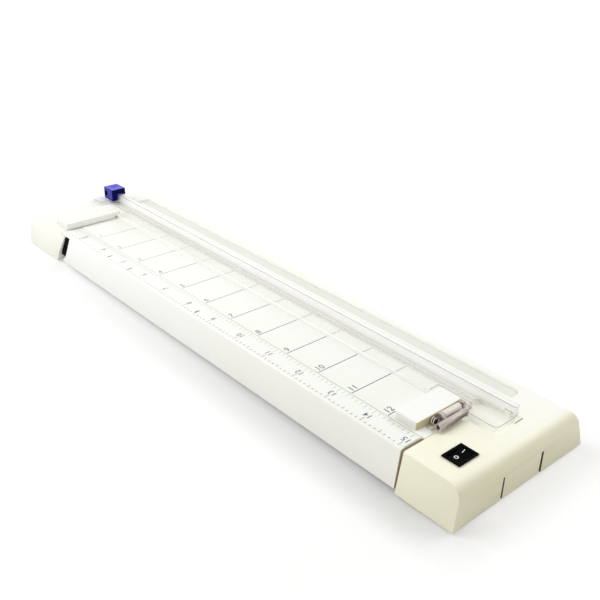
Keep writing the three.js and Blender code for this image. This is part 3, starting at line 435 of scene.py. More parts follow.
def moulded_plastic(name, colour, aged, roughness, grain=SPARK_DEPTH, scatter=0.0, pale=None,
                    border=None, top=None, streaks=None, end=None):
    """Moulded plastic: a fine spark-eroded grain, uneven ageing, handling marks, rubbed edges.

    Pale is a painted light: the colour towards the left end, and towards the back save on faces
    that look to the right. Border is the colour in front of the window's border, and streaks that
    of fine lines. Top is a painted light on the faces that look up, and end a painted shade on
    the faces that look to the right.
    """
    material, tree, shader = blank(name)
    body = mix(tree, span(tree, noise(tree, AGED_PATCHES), *PATCHES_IN), colour, aged)
    surface = node(tree, "ShaderNodeNewGeometry")
    facing = node(tree, "ShaderNodeSeparateXYZ")
    tree.links.new(surface.outputs["Normal"], facing.inputs["Vector"])
    # Painted light on the faces that look up, painted shade on those that look to the right
    if top is not None:
        body = mix(tree, span(tree, facing.outputs["Z"], *LIT_TOP_IN), body, top)
    if end is not None:
        body = mix(tree, span(tree, facing.outputs["X"], *SHADED_END_IN), body, end)
    # Painted light: paler towards the left end, and towards the back save on faces that look to the
    # right
    if pale is not None:
        left = along_length(tree, 1.0, 0.0)
        back = along(tree, "Y", ZERO.y, BACK - BACK_STRIP * MM)
        not_end = span(tree, facing.outputs["X"], *SIDE_IN, 1.0, 0.0)
        lit_pale_mask = maths(tree, "MAXIMUM", left, maths(tree, "MULTIPLY", back, not_end))
        body = mix(tree, lit_pale_mask, body, pale)
    if streaks is not None:
        lines = span(tree, noise(tree, STREAK_LINES, STREAKED), *STREAKS_IN, 0.0, STREAK_SHARE)
        body = mix(tree, lines, body, streaks)
    if border is not None:
        edge = ZERO.y + WINDOW_BORDER * MM
        in_front = along(tree, "Y", edge, edge + BORDER_BLUR * MM, 1.0, 0.0)
        body = mix(tree, in_front, body, border)
    worn = span(tree, surface.outputs["Pointiness"], *EDGE_IN, 0.0, EDGE_SHARE)
    rubbed = tuple(min(1.0, c * EDGE_GAIN) for c in colour)
    tree.links.new(mix(tree, worn, body, rubbed), shader.inputs["Base Color"])
    least, most = roughness + HANDLED_FROM, roughness + HANDLED_TO
    handled = span(tree, noise(tree, HANDLING), *MARKS_IN, least, most)
    tree.links.new(handled, shader.inputs["Roughness"])
    shader.inputs["IOR"].default_value = PLASTIC_INDEX
    shader.inputs["Subsurface Weight"].default_value = scatter
    shader.inputs["Subsurface Radius"].default_value = SCATTER_RADIUS
    shader.inputs["Subsurface Scale"].default_value = 1.0
    bump(tree, shader, noise(tree, SPARK_GRAIN), SPARK_BUMP, grain)
    return material


def glossy_plastic(name, colour, flowed, roughness, shine=0.5):
    """Polished moulded plastic with handling marks, and faint flow marks in a second colour."""
    material, tree, shader = blank(name)
    shader.inputs["Specular IOR Level"].default_value = shine
    flow = span(tree, noise(tree, FLOW_MARKS), *FLOW_IN)
    tree.links.new(mix(tree, flow, colour, flowed), shader.inputs["Base Color"])
    marks = noise(tree, RUB_MARKS, RUBBED)
    handled = span(tree, marks, *RUBS_IN, roughness, roughness + GLOSSY_MARKED)
    tree.links.new(handled, shader.inputs["Roughness"])
    shader.inputs["IOR"].default_value = GLOSSY_INDEX
    bump(tree, shader, noise(tree, POLISH_WAVES), POLISH_BUMP, POLISH_DEPTH)
    return material


def clear_plastic(name, tint, clearness, roughness, shade_band=None, body=PURE_WHITE):
    """Clear plastic, milky with use. It throws no dark shadow.

    The shade band is a painted shade: its tint, and the axis and two places between which it builds
    up.
    Body is the shade of what it throws back, against its tint.
    """
    material, tree, shader = blank(name)
    veil = mix(tree, noise(tree, VEIL_CLOUDS), tint, tuple(c * VEIL_GAIN for c in tint))
    # Painted shade that deepens from one place to the other on the axis
    if shade_band is not None:
        dusty, axis, low, high = shade_band
        veil = mix(tree, along(tree, axis, low, high), veil, dusty)
    tone = node(tree, "ShaderNodeVectorMath", operation="MULTIPLY")
    fill(tree, tone, veil, body)
    tree.links.new(tone.outputs["Vector"], shader.inputs["Base Color"])
    shader.inputs["IOR"].default_value = PLASTIC_INDEX
    marks = noise(tree, VEIL_HANDLING)
    handled = span(tree, marks, *MARKS_IN, roughness, roughness + CLEAR_MARKED)
    tree.links.new(handled, shader.inputs["Roughness"])
    rays = node(tree, "ShaderNodeLightPath")
    unlit = maths(tree, "MAXIMUM", rays.outputs["Is Shadow Ray"], rays.outputs["Is Diffuse Ray"])
    through = node(tree, "ShaderNodeBsdfTransparent")
    tree.links.new(mix(tree, unlit, veil, PURE_WHITE), through.inputs["Color"])
    surface = node(tree, "ShaderNodeMixShader")
    tree.links.new(maths(tree, "MAXIMUM", unlit, clearness), surface.inputs["Fac"])
    tree.links.new(shader.outputs["BSDF"], surface.inputs[1])
    tree.links.new(through.outputs["BSDF"], surface.inputs[2])
    tree.links.new(surface.outputs["Shader"], tree.nodes["Material Output"].inputs["Surface"])
    return material


def plated_steel(name, colour, roughness, stretch=EVEN):
    """Plated or ground steel with a fine grain."""
    material, tree, shader = blank(name)
    shader.inputs["Metallic"].default_value = 1.0
    dull = tuple(c * DULL_GAIN for c in colour)
    tone = noise(tree, STEEL_TONE, stretch)
    tree.links.new(mix(tree, tone, dull, colour), shader.inputs["Base Color"])
    marks = noise(tree, STEEL_GLOSS, stretch)
    handled = span(tree, marks, *MARKS_IN, roughness, roughness + STEEL_MARKED)
    tree.links.new(handled, shader.inputs["Roughness"])
    bump(tree, shader, noise(tree, STEEL_GRAIN, stretch), POLISH_BUMP, POLISH_DEPTH)
    return material


def rubber_sheet(name, colour):
    """Matt rubber with a dusty bloom."""
    material, tree, shader = blank(name)
    bloom = tuple(c + BLOOM_LIFT for c in colour)
    dusted = mix(tree, noise(tree, RUBBER_BLOOM), colour, bloom)
    tree.links.new(dusted, shader.inputs["Base Color"])
    shader.inputs["Roughness"].default_value = RUBBER_ROUGHNESS
    bump(tree, shader, noise(tree, RUBBER_GRAIN), RUBBER_BUMP, RUBBER_DEPTH)
    return material


def printed_ink(name, colour, worn, rubbed=0.0):
    """Screen-printed ink, a little patchy, rubbed thin towards the left end."""
    material, tree, shader = blank(name)
    patchy = span(tree, noise(tree, INK_PATCHES), *INK_IN, 0.0, INK_SHARE)
    body = mix(tree, patchy, colour, worn)
    thinned = mix(tree, along_length(tree, rubbed, 0.0), body, SHEET_COLOUR)
    tree.links.new(thinned, shader.inputs["Base Color"])
    shader.inputs["Roughness"].default_value = INK_ROUGHNESS
    return material


# Ivory case: painted light on its upward faces and towards the left end and the back, painted shade
# on the faces that look to the right
IVORY = moulded_plastic(
    "ivory_moulding", (0.86, 0.85, 0.665), (0.83, 0.815, 0.61), 0.38, scatter=0.05,
    pale=(0.95, 0.955, 0.92), top=(0.935, 0.925, 0.755), end=(0.79, 0.755, 0.54),
)
# Guides: painted light on their upward faces and towards the left end and the back
GUIDE_IVORY = moulded_plastic(
    "pale_ivory_moulding", (0.87, 0.86, 0.815), (0.85, 0.84, 0.78), 0.4, scatter=0.05,
    pale=(0.90, 0.90, 0.86), top=(0.95, 0.955, 0.94),
)
WHITE = moulded_plastic(
    "white_moulding", (0.92, 0.93, 0.89), (0.885, 0.895, 0.84), 0.34, grain=0.000015,
)
# Arm: painted light towards the left end and the back
ARM_WHITE = moulded_plastic(
    "arm_moulding", (0.945, 0.945, 0.89), (0.92, 0.92, 0.85), 0.38, pale=(0.98, 0.98, 0.96),
)
# Painted shade, with some yellowing, on the right guide's outer end
GUIDE_END_SHADE = moulded_plastic("yellowed_shaded_guide_end", (0.60, 0.55, 0.34), (0.48, 0.42, 0.24), 0.5)
# Painted brown shade for the deep slit between the arm's right end and the case
ARM_SLIT_SHADE = moulded_plastic("arm_slit_shade", (0.52, 0.44, 0.30), (0.38, 0.31, 0.20), 0.5)
SHEET = moulded_plastic("rule_sheet", SHEET_COLOUR, (0.89, 0.91, 0.86), 0.3, grain=0.00001)
FROSTED = moulded_plastic(
    "frosted_light_panel", (0.79, 0.80, 0.745), (0.75, 0.765, 0.695), 0.5, grain=0.00005,
    border=(0.94, 0.945, 0.91),
)
GREY = moulded_plastic("grey_cutting_strip", (0.82, 0.82, 0.79), (0.76, 0.76, 0.73), 0.6)
# Dust and painted shade in the seams beside the bed, paler towards the left end and the back as a
# painted light
DUST_AND_SHADE = moulded_plastic(
    "dusty_shaded_rim", (0.80, 0.81, 0.74), (0.72, 0.73, 0.66), 0.7, pale=(0.92, 0.92, 0.89),
)
# Painted shade, near black, for the slits beside the battery door's tongue and beside the rail's
# end
SLIT_SHADE = moulded_plastic("slit_shade", (0.13, 0.10, 0.06), (0.08, 0.06, 0.035), 0.8)
HAZY = moulded_plastic("hazy_hinge_plastic", (0.80, 0.74, 0.70), (0.72, 0.65, 0.60), 0.25)
# Painted shade and dark streaks, a painted reflection, on the rail's hinge ears and tube: a darker
# copy of the hinge plastic
HINGE_SHADE = moulded_plastic(
    "shaded_hinge_plastic", (0.60, 0.53, 0.49), (0.50, 0.43, 0.39), 0.2,
    streaks=(0.10, 0.07, 0.06),
)
BLUE = glossy_plastic(
    "royal_blue_moulding", (0.012, 0.009, 0.26), (0.02, 0.014, 0.34), 0.24, shine=0.3,
)
# Lit and shaded copies of the blue: painted light on the handle's top, painted shade on its right
# side
BLUE_LIT_TOP = glossy_plastic(
    "royal_blue_lit_top", (0.06, 0.06, 0.56), (0.11, 0.11, 0.66), 0.2, shine=0.4,
)
BLUE_SHADE = glossy_plastic(
    "deep_blue_shaded_side", (0.002, 0.001, 0.05), (0.004, 0.002, 0.09), 0.35, shine=0.04,
)
BLACK = glossy_plastic(
    "black_moulding", (0.0025, 0.0025, 0.003), (0.004, 0.004, 0.005), 0.45, shine=0.015,
)
BOARD = glossy_plastic("green_board", (0.02, 0.16, 0.07), (0.03, 0.2, 0.09), 0.3)
WRAP = glossy_plastic("plain_cell_wrap", (0.05, 0.052, 0.06), (0.07, 0.072, 0.08), 0.25)
# Clear flange, with a painted shade band in front of the running wall
CLEAR = clear_plastic(
    "clear_rail_plastic", (1.0, 1.0, 0.995), 0.78, 0.12,
    shade_band=((0.94, 0.94, 0.925), "Y", ZERO.y + SHADE_FRONT * MM, ZERO.y + SHADE_BACK * MM),
    body=(0.92, 0.93, 0.895),
)
# Milky running wall, with a painted shade that deepens towards its foot
MILKY = clear_plastic(
    "milky_rail_plastic", (0.995, 0.995, 0.985), 0.15, 0.12,
    shade_band=((0.74, 0.74, 0.72), "Z", ZERO.z + SHADE_HIGH * MM, ZERO.z),
)
HAZE = clear_plastic("hazy_rail_front", (0.97, 0.97, 0.95), 0.35, 0.12)
# Painted dark lines on the rail's narrow slanted edges, for the dark look of clear plastic's edges
EDGE_SHADE = clear_plastic("rail_edge_shade", (0.52, 0.52, 0.51), 0.6, 0.2)
# Painted shade: near-black steel for the pieces that stand for the dark hollows of the hinge coil
# and the tube's bore
BORE_SHADE = plated_steel("bore_shade_steel", (0.05, 0.03, 0.025), 0.4)
PINK_STEEL = plated_steel("dulled_steel", (0.62, 0.55, 0.51), 0.4)
NICKEL = plated_steel("nickel_plate", (0.66, 0.64, 0.6), 0.24)
BLADE_STEEL = plated_steel("ground_blade_steel", (0.72, 0.73, 0.75), 0.12, GROUND)
RUBBER = rubber_sheet("black_rubber", (0.025, 0.025, 0.026))
INK = printed_ink("dark_blue_ink", (0.010, 0.010, 0.11), (0.03, 0.03, 0.17), rubbed=0.66)
RULE_INK = printed_ink("rule_ink", (0.03, 0.05, 0.11), (0.12, 0.16, 0.2), rubbed=0.55)
FAINT_INK = printed_ink("faint_rule_ink", (0.30, 0.40, 0.38), (0.48, 0.58, 0.55), rubbed=0.8)
MARK_INK = printed_ink("white_mark_ink", (0.85, 0.85, 0.85), (0.7, 0.7, 0.7))


def finish_piece(obj, body, material=None):
    """Gives a piece its material and its body."""
    if material is not None:
        obj.data.materials.clear()
        obj.data.materials.append(material)
    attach(obj, body)
    return obj


def new_object(name, data):
    """An object in the scene, with its mesh, curve, lamp or camera."""
    obj = bpy.data.objects.new(name, data)
    bpy.context.scene.collection.objects.link(obj)
    return obj


def is_sharp(line):
    """Whether the two faces at an edge meet past the sharp angle."""
    return len(line.link_faces) == 2 and line.calc_face_angle(0.0) > SHARP_ANGLE


def set_edges(form):
    """Smooth faces, with sharp edges kept crisp."""
    for face in form.faces:
        face.smooth = True
    for line in form.edges:
        line.smooth = not is_sharp(line)


def mesh_of(form, name):
    """A new mesh of a form, which is freed."""
    mesh = bpy.data.meshes.new(name)
    form.to_mesh(mesh)
    form.free()
    return mesh


def shown_mesh(obj):
    """The mesh of an object as it shows, with its modifiers."""
    graph = bpy.context.evaluated_depsgraph_get()
    return bpy.data.meshes.new_from_object(obj.evaluated_get(graph), depsgraph=graph)


def bake(obj):
    """Turns an object with modifiers into a plain mesh object."""
    mesh = shown_mesh(obj)
    obj.modifiers.clear()
    obj.data = mesh


def added_look(obj, material):
    """Adds a material to a piece and says its number."""
    obj.data.materials.append(material)
    return len(obj.data.materials) - 1


def tint_faces(obj, material, chosen):
    """Gives another material to those faces of a piece for which chosen says yes."""
    number = added_look(obj, material)
    for face in obj.data.polygons:
        if chosen(face):
            face.material_index = number


def folded_corners(mesh):
    """The corners of triangles that look the other way than the face they belong to."""
    mesh.calc_loop_triangles()
    corners = set()
    for triangle in mesh.loop_triangles:
        face = mesh.polygons[triangle.polygon_index]
        if triangle.area > FOLD_LIMIT and triangle.normal.dot(face.normal) < 0.0:
            corners.update(triangle.vertices)
    return [mesh.vertices[index].co.copy() for index in corners]


def eased_runs(mesh):
    """For each eased edge, the set of edges that run on from it without a corner."""
    weights = mesh.attributes["bevel_weight_edge"].data
    meeting = {}
    for line in mesh.edges:
        if weights[line.index].value > 0.0:
            for corner in line.vertices:
                meeting.setdefault(corner, []).append(line)
    runs = {line.index: {line.index} for lines in meeting.values() for line in lines}
    for corner, lines in meeting.items():
        ways = []
        for line in lines:
            near, far = line.vertices
            if far == corner:
                far = near
            ways.append((mesh.vertices[far].co - mesh.vertices[corner].co).normalized())
        for first, one in enumerate(lines):
            for second in range(first + 1, len(lines)):
                other = lines[second]
                straight_on = ways[first].dot(ways[second]) < -CHAIN_COSINE
                if straight_on and runs[one.index] is not runs[other.index]:
                    merged = runs[one.index] | runs[other.index]
                    for index in merged:
                        runs[index] = merged
    return runs


def ease_less(mesh, corners, reach, share):
    """Eases each run of edges that ends or passes near the given corners by a smaller share."""
    tree = KDTree(len(corners))
    for index, corner in enumerate(corners):
        tree.insert(corner, index)
    tree.balance()
    near = [tree.find(vertex.co)[2] < reach for vertex in mesh.vertices]
    runs = eased_runs(mesh)
    touched = set()
    for index, run in runs.items():
        if all(near[corner] for corner in mesh.edges[index].vertices):
            touched |= run
    weights = mesh.attributes["bevel_weight_edge"].data
    for index in touched:
        weights[index].value *= share


def inside(point, box):
    """Whether a point lies in a box given by two corners."""
    return all(low <= value <= high for low, value, high in zip(box[0], point, box[1]))


def marked_mesh(cad, crisp):
    """A solid's mesh, its flat faces merged and its sharp edges marked, save in the crisp boxes."""
    mesh = NODES[cad].data.copy()
    form = bmesh.new()
    form.from_mesh(mesh)
    bmesh.ops.remove_doubles(form, verts=form.verts, dist=WELD)
    verts = [vert for vert in form.verts if not any(inside(vert.co, box) for box in crisp)]
    free = set(verts)
    edges = [line for line in form.edges if any(vert in free for vert in line.verts)]
    bmesh.ops.dissolve_limit(form, angle_limit=FLAT_ANGLE, verts=verts, edges=edges)
    weight = form.edges.layers.float.new("bevel_weight_edge")
    for line in form.edges:
        kept = any(all(inside(vert.co, box) for vert in line.verts) for box in crisp)
        line[weight] = float(is_sharp(line) and not kept)
    form.to_mesh(mesh)
    form.free()
    if mesh.has_custom_normals:
        mesh.attributes.remove(mesh.attributes["custom_normal"])
    return mesh


def ease_edges(obj, mesh, ease):
    """Shows a marked mesh with its edges eased, in millimetres, less where they would fold over."""
    for share in EASE_SHARES:
        obj.data = mesh
        eased = obj.modifiers.new("edges", "BEVEL")
        eased.width = ease * MM
        eased.segments = BEVEL_STEPS
        eased.limit_method = "WEIGHT"
        eased.use_clamp_overlap = False
        eased.loop_slide = True
        bake(obj)
        folded = folded_corners(obj.data)
        if not folded:
            break
        ease_less(mesh, folded, FOLD_REACH * ease * MM, share)


def dressed(name, cad, material, body, slot, ease, *crisp):
    """A copy of a solid with its edges eased, in millimetres, save those inside the crisp boxes."""
    mesh = marked_mesh(cad, crisp)
    obj = new_object(name, mesh)
    ease_edges(obj, mesh, ease)
    form = bmesh.new()
    form.from_mesh(obj.data)
    set_edges(form)
    form.to_mesh(obj.data)
    form.free()
    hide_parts(cad)
    return finish_piece(obj, body, material)


def bars_tree():
    """Geometry nodes that lay bars along x, every so many of them longer."""
    tree = bpy.data.node_groups.new("rule_bars", "GeometryNodeTree")
    for name, kind in (
        ("Count", "NodeSocketInt"), ("Pitch", "NodeSocketFloat"), ("Width", "NodeSocketFloat"),
        ("Length", "NodeSocketFloat"), ("Height", "NodeSocketFloat"),
        ("Growth", "NodeSocketFloat"), ("Long Every", "NodeSocketInt"),
        ("Long Share", "NodeSocketFloat"), ("Half Share", "NodeSocketFloat"),
        ("First", "NodeSocketInt"), ("Ink", "NodeSocketMaterial"),
    ):
        tree.interface.new_socket(name, in_out="INPUT", socket_type=kind)
    tree.interface.new_socket("Geometry", in_out="OUTPUT", socket_type="NodeSocketGeometry")
    given = node(tree, "NodeGroupInput").outputs
    link = tree.links.new
    line = node(tree, "GeometryNodeMeshLine")
    link(given["Count"], line.inputs["Count"])
    link(combined(tree, given["Pitch"], 0.0, 0.0), line.inputs["Offset"])
    bar = node(tree, "GeometryNodeMeshCube")
    link(combined(tree, given["Width"], given["Length"], given["Height"]), bar.inputs["Size"])
    index = node(tree, "GeometryNodeInputIndex").outputs["Index"]
    shifted = maths(tree, "ADD", index, given["First"])

    def extra(divisor, share):
        """The share that a bar gets longer by, where the shifted index is a multiple of divisor."""
        rest = maths(tree, "MODULO", shifted, divisor)
        return maths(tree, "MULTIPLY", maths(tree, "LESS_THAN", rest, 0.5), share)

    long = extra(given["Long Every"], given["Long Share"])
    half = extra(maths(tree, "DIVIDE", given["Long Every"], 2.0), given["Half Share"])
    total = maths(tree, "ADD", long, half)
    growth = maths(tree, "MULTIPLY", given["Length"], total)
    shift = maths(tree, "MULTIPLY", growth, given["Growth"])
    moved = node(tree, "GeometryNodeSetPosition")
    link(line.outputs["Mesh"], moved.inputs["Geometry"])
    link(combined(tree, 0.0, shift, 0.0), moved.inputs["Offset"])
    placed = node(tree, "GeometryNodeInstanceOnPoints")
    link(moved.outputs["Geometry"], placed.inputs["Points"])
    link(bar.outputs["Mesh"], placed.inputs["Instance"])
    link(combined(tree, 1.0, maths(tree, "ADD", total, 1.0), 1.0), placed.inputs["Scale"])
    real = node(tree, "GeometryNodeRealizeInstances")
    link(placed.outputs["Instances"], real.inputs["Geometry"])
    inked = node(tree, "GeometryNodeSetMaterial")
    link(real.outputs["Geometry"], inked.inputs["Geometry"])
    link(given["Ink"], inked.inputs["Material"])
    link(inked.outputs["Geometry"], node(tree, "NodeGroupOutput").inputs["Geometry"])
    return tree


BARS = bars_tree()


def bars(name, start, sizes, body):
    """A row of printed bars that begins at start."""
    obj = new_object(name, bpy.data.meshes.new(name))
    modifier = obj.modifiers.new("bars", "NODES")
    modifier.node_group = BARS
    for item in BARS.interface.items_tree:
        if item.in_out == "INPUT" and item.name in sizes:
            modifier[item.identifier] = sizes[item.name]
    bake(obj)
    obj.data.transform(Matrix.Translation(start))
    finish_piece(obj, body)


def bar_sizes(count, pitch, width, length, ink, side=1, every=1, shares=(0.0, 0.0), first=0):
    """The named inputs of one row of bars, from millimetres; they grow towards side on y."""
    long_share, half_share = shares
    return {
        "Count": count, "Pitch": pitch * MM, "Width": width * MM, "Length": length * MM,
        "Height": (PRINT_HIGH + PRINT_DEEP) * MM, "Growth": side / 2, "Long Every": every,
        "Long Share": long_share, "Half Share": half_share, "First": first, "Ink": ink,
    }


def word_mesh(text, size, turn, align="LEFT"):
    """The closed mesh of a printed number, size in millimetres, turned about z."""
    curve = bpy.data.curves.new("number", "FONT")
    curve.body = text
    curve.size = size * MM
    curve.align_x = align
    curve.extrude = (PRINT_HIGH + PRINT_DEEP) * MM / 2
    curve.offset = NUMBER_STROKE * MM
    curve.resolution_u = NUMBER_STEPS
    obj = new_object("number", curve)
    mesh = shown_mesh(obj)
    bpy.data.objects.remove(obj)
    mesh.transform(Matrix.Rotation(turn, 4, "Z"))
    return mesh


def joined(name, placed_meshes):
    """One mesh object from meshes that are already in place."""
    form = bmesh.new()
    for mesh in placed_meshes:
        form.from_mesh(mesh)
    return new_object(name, mesh_of(form, name))


def bed_print():
    """The bed's inch lines and their numbers."""
    middle = (GRID_FRONT + GRID_BACK) / 2
    layer = (PRINT_HIGH - PRINT_DEEP) / 2
    sizes = bar_sizes(GRID_COUNT, INCH, GRID_WIDTH, GRID_BACK - GRID_FRONT, INK)
    bars("bed_inch_lines", at(INCH, middle, layer), sizes, "base")
    numbers = []
    for inch in range(1, GRID_COUNT + 1):
        mesh = word_mesh(str(inch), BED_NUMBER_SIZE, BED_NUMBER_TURN)
        place = at(inch * INCH - BED_NUMBER_GAP, BED_NUMBER_Y, layer)
        mesh.transform(Matrix.Translation(place))
        numbers.append(mesh)
    finish_piece(joined("bed_numbers", numbers), "base", INK)


def arm_print():
    """The arm's rule: two rows of ticks and their numbers, read from the cut when it is out."""
    layer = (PRINT_HIGH - PRINT_DEEP) / 2
    pitch = INCH / TICKS_PER_INCH
    start = ARM_FIRST * INCH - ARM_RULE_OFFSET - TICKS_BEFORE * pitch
    count = (ARM_LAST - ARM_FIRST) * TICKS_PER_INCH + 1 + TICKS_BEFORE
    for name, edge, length, ink, side, shares in (
        ("arm_outer_ticks", OUTER_TICK_EDGE, OUTER_TICK, RULE_INK, 1, OUTER_SHARES),
        ("arm_inner_ticks", INNER_TICK_EDGE, INNER_TICK, FAINT_INK, -1, INNER_SHARES),
    ):
        sizes = bar_sizes(
            count, pitch, TICK_WIDTH, length, ink, side, every=TICKS_PER_INCH, shares=shares,
            first=TICKS_PER_INCH - TICKS_BEFORE,
        )
        bars(name, at(start, edge + side * length / 2, layer), sizes, "arm")
    numbers = []
    for inch in range(ARM_FIRST, ARM_LAST + 1):
        mesh = word_mesh(str(inch), ARM_NUMBER_SIZE, ARM_NUMBER_TURN, "CENTER")
        mesh.transform(Matrix.Translation(at(inch * INCH - ARM_RULE_OFFSET, ARM_NUMBER_Y, layer)))
        numbers.append(mesh)
    finish_piece(joined("arm_numbers", numbers), "arm", RULE_INK)
    dashes = []
    for x, y, length, width in ARM_DASHES:
        mesh = pad_mesh(width, length, PRINT_HIGH)
        mesh.transform(Matrix.Translation(at(x, y)))
        dashes.append(mesh)
    finish_piece(joined("arm_dashes", dashes), "arm", BLACK)


def tongue_box():
    """The room round the upper part of the battery door's tongue, in the case's right end."""
    low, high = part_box("battery_door")
    room = TONGUE_ROOM * MM
    return (
        Vector((high.x - TONGUE_DEEP * MM, low.y - room, low.z + TONGUE_SHEET * MM)),
        Vector((high.x + room, high.y + room, high.z + room)),
    )


def funnel_box():
    """The room of the window's sunk rim in the case."""
    low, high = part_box("light_window")
    room = FUNNEL_ROOM * MM
    return (
        Vector((low.x - room, low.y - room, low.z)),
        Vector((high.x + room, high.y + room, ZERO.z + WELD)),
    )


def close_tongue(door, case):
    """Draws the tongue's head up to a hairline under the case, and paints the slits beside it dark:
    a painted shade.
    """
    box = tongue_box()
    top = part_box("battery_door")[1].z
    for vertex in door.data.vertices:
        if vertex.co.z > top - WELD:
            vertex.co.z += TONGUE_RISE * MM
    for obj in (door, case):
        tint_faces(
            obj, SLIT_SHADE, lambda face: abs(face.normal.y) > SIDE_ON and inside(face.center, box),
        )


def soil_seam(obj, place, way):
    """Dust and painted shade on a piece's faces that close a seam at a place on y, where they look
    that way.
    """
    low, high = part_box("bed_plate")
    foot = ZERO.z - SEAM_DEEP * MM

    def in_seam(face):
        """Whether the face closes the seam."""
        x, y, z = face.center
        along_bed = low.x < x < high.x and foot < z < ZERO.z + WELD
        return along_bed and abs(y - place) < SEAM_ROOM * MM and face.normal.y * way > MOSTLY

    tint_faces(obj, DUST_AND_SHADE, in_seam)


def dress_solids():
    """Every plastic moulding with its edges eased. Each row holds what dressed takes."""
    rows = (
        (
            "case_moulding", "upper_case", IVORY, "base", "ivory_plastic", BROAD_EASE,
            tongue_box(), funnel_box(),
        ),
        ("cover_moulding", "bottom_cover", IVORY, "base", "ivory_plastic", PLAIN_EASE),
        ("door_moulding", "battery_door", IVORY, "door", "ivory_plastic", PLAIN_EASE, tongue_box()),
        ("left_guide_block", "left_guide", GUIDE_IVORY, "base", "ivory_plastic", PLAIN_EASE),
        ("right_guide_block", "right_guide", GUIDE_IVORY, "base", "ivory_plastic", PLAIN_EASE),
        ("bed_sheet", "bed_plate", WHITE, "base", "white_plastic", FINE_EASE),
        ("arm_moulding", "swing_arm", ARM_WHITE, "arm", "white_plastic", PLAIN_EASE),
        ("arm_rule_sheet", "arm_scale", SHEET, "arm", "white_plastic", SHEET_EASE),
        ("arm_hinge_moulding", "arm_hinge_block", BLACK, "base", "black_plastic", ROUND_EASE),
        ("light_panel", "light_window", FROSTED, "base", "frosted_plastic", SLIM_EASE),
        ("rail_moulding", "clear_rail", CLEAR, "rail", "clear_plastic", ROUND_EASE),
        ("barrel_moulding", "hinge_barrel", HAZY, "base", "white_plastic", FINE_EASE),
        ("carriage_handle", "carriage_cap", BLUE, "cap", "blue_plastic", ROUND_EASE),
        ("carriage_runner", "carriage_shoe", BLUE, "carriage", "blue_plastic", FINE_EASE),
        ("switch_frame", "switch_body", BLACK, "base", "black_plastic", SLIM_EASE),
        ("switch_button", "switch_rocker", BLACK, "rocker", "black_plastic", PLAIN_EASE),
    )
    return {row[0]: dressed(*row) for row in rows}


def widen_sheet(sheet):
    """Spreads the arm's flat rule sheet sideways to fill its seat."""
    low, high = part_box("arm_scale")
    middle = (low + high) / 2
    for vertex in sheet.data.vertices:
        for axis in (0, 1):
            vertex.co[axis] += math.copysign(SHEET_GROWTH * MM, vertex.co[axis] - middle[axis])


def tint_cap(cap):
    """The carriage's handle has a painted light on its upward faces and a painted shade on its
    right.
    """
    tint_faces(cap, BLUE_LIT_TOP, lambda face: face.normal.z > UPWARD)
    tint_faces(cap, BLUE_SHADE, lambda face: face.normal.x > RIGHTWARD)


def move_right(obj, low, high, shift):
    """Moves the part of a piece between two places on x to the right, in millimetres."""
    for vertex in obj.data.vertices:
        if low < vertex.co.x < high:
            vertex.co.x += shift * MM


def narrow_guide(guide, rail):
    """The right guide's left side and the rail's notch beside it clear the last inch line."""
    low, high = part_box("right_guide")
    move_right(guide, low.x - WELD, (low.x + high.x) / 2, GUIDE_SHIFT)
    notch = low.x - NOTCH_GAP * MM
    move_right(rail, notch - NOTCH_ROOM * MM, notch + NOTCH_ROOM * MM, GUIDE_SHIFT)


def brown_end(arm, case):
    """The arm's right end and the wall that faces it get a painted brown shade, with a clear slit
    between.
    """
    low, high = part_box("swing_arm")
    move_right(arm, high.x - ARM_END_ROOM * MM, high.x + WELD, -ARM_END_SHIFT)

    def at_slit(face):
        """Whether the face stands beside the slit."""
        x, y = face.center.xy
        return abs(x - high.x) < ARM_END_REACH * MM and low.y < y < high.y

    tint_faces(arm, ARM_SLIT_SHADE, lambda face: at_slit(face) and face.normal.x > MOSTLY)
    tint_faces(case, ARM_SLIT_SHADE, lambda face: at_slit(face) and face.normal.x < -MOSTLY)


def tint_guide(guide):
    """The right guide's outer end is darker and yellower: a painted shade, with some yellowing."""
    tint_faces(guide, GUIDE_END_SHADE, lambda face: face.normal.x > RIGHTWARD)


def strip_width(mesh, face):
    """The width of a long narrow face."""
    corners = [mesh.vertices[index].co for index in face.vertices]
    around = sum((corners[k] - corners[k - 1]).length for k in range(len(corners)))
    return 2 * face.area / around


def tint_rail(rail):
    """The rail's running wall is milkier than its flange; its narrow slanted edges get painted dark
    lines and its hinge parts a painted shade.
    """
    hinge_shade_look, milky, line, haze = (added_look(rail, look) for look in (HINGE_SHADE, MILKY, EDGE_SHADE, HAZE))
    ears_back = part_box("hinge_pin")[1].y
    guide_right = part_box("right_guide")[1].x
    tube_right = at(HINGE_TUBE_X + HINGE_TUBE_RADIUS, 0.0).x + WELD
    wall_front = at(0.0, WALL_FRONT).y - WELD
    flange_front = at(0.0, FLANGE_FRONT + FLANGE_EASE).y
    low = ZERO.z + LINE_LOW * MM
    slot = at(0.0, WALL_FRONT - SLOT_WIDTH).y
    groove = at(0.0, WALL_FRONT + GROOVE_MIDDLE).y
    for face in rail.data.polygons:
        x, y, z = face.center
        in_slot = slot < y < wall_front + WELD * 2 and z < low
        in_slot = in_slot or abs(y - groove) < GROOVE_REACH * MM
        slanted = max(abs(part) for part in face.normal) < STRAIGHT and face.normal.z > 0.0
        narrow = strip_width(rail.data, face) < LINE_WIDTH * MM
        # Hinge ears and tube take the painted shade, narrow slanted edges the painted dark lines
        if y < ears_back and guide_right < x < tube_right:
            face.material_index = hinge_shade_look
        elif face.normal.y < -MOSTLY and y < flange_front and x < guide_right:
            face.material_index = haze
        elif slanted and narrow and not in_slot:
            face.material_index = line
        elif y > wall_front:
            face.material_index = milky


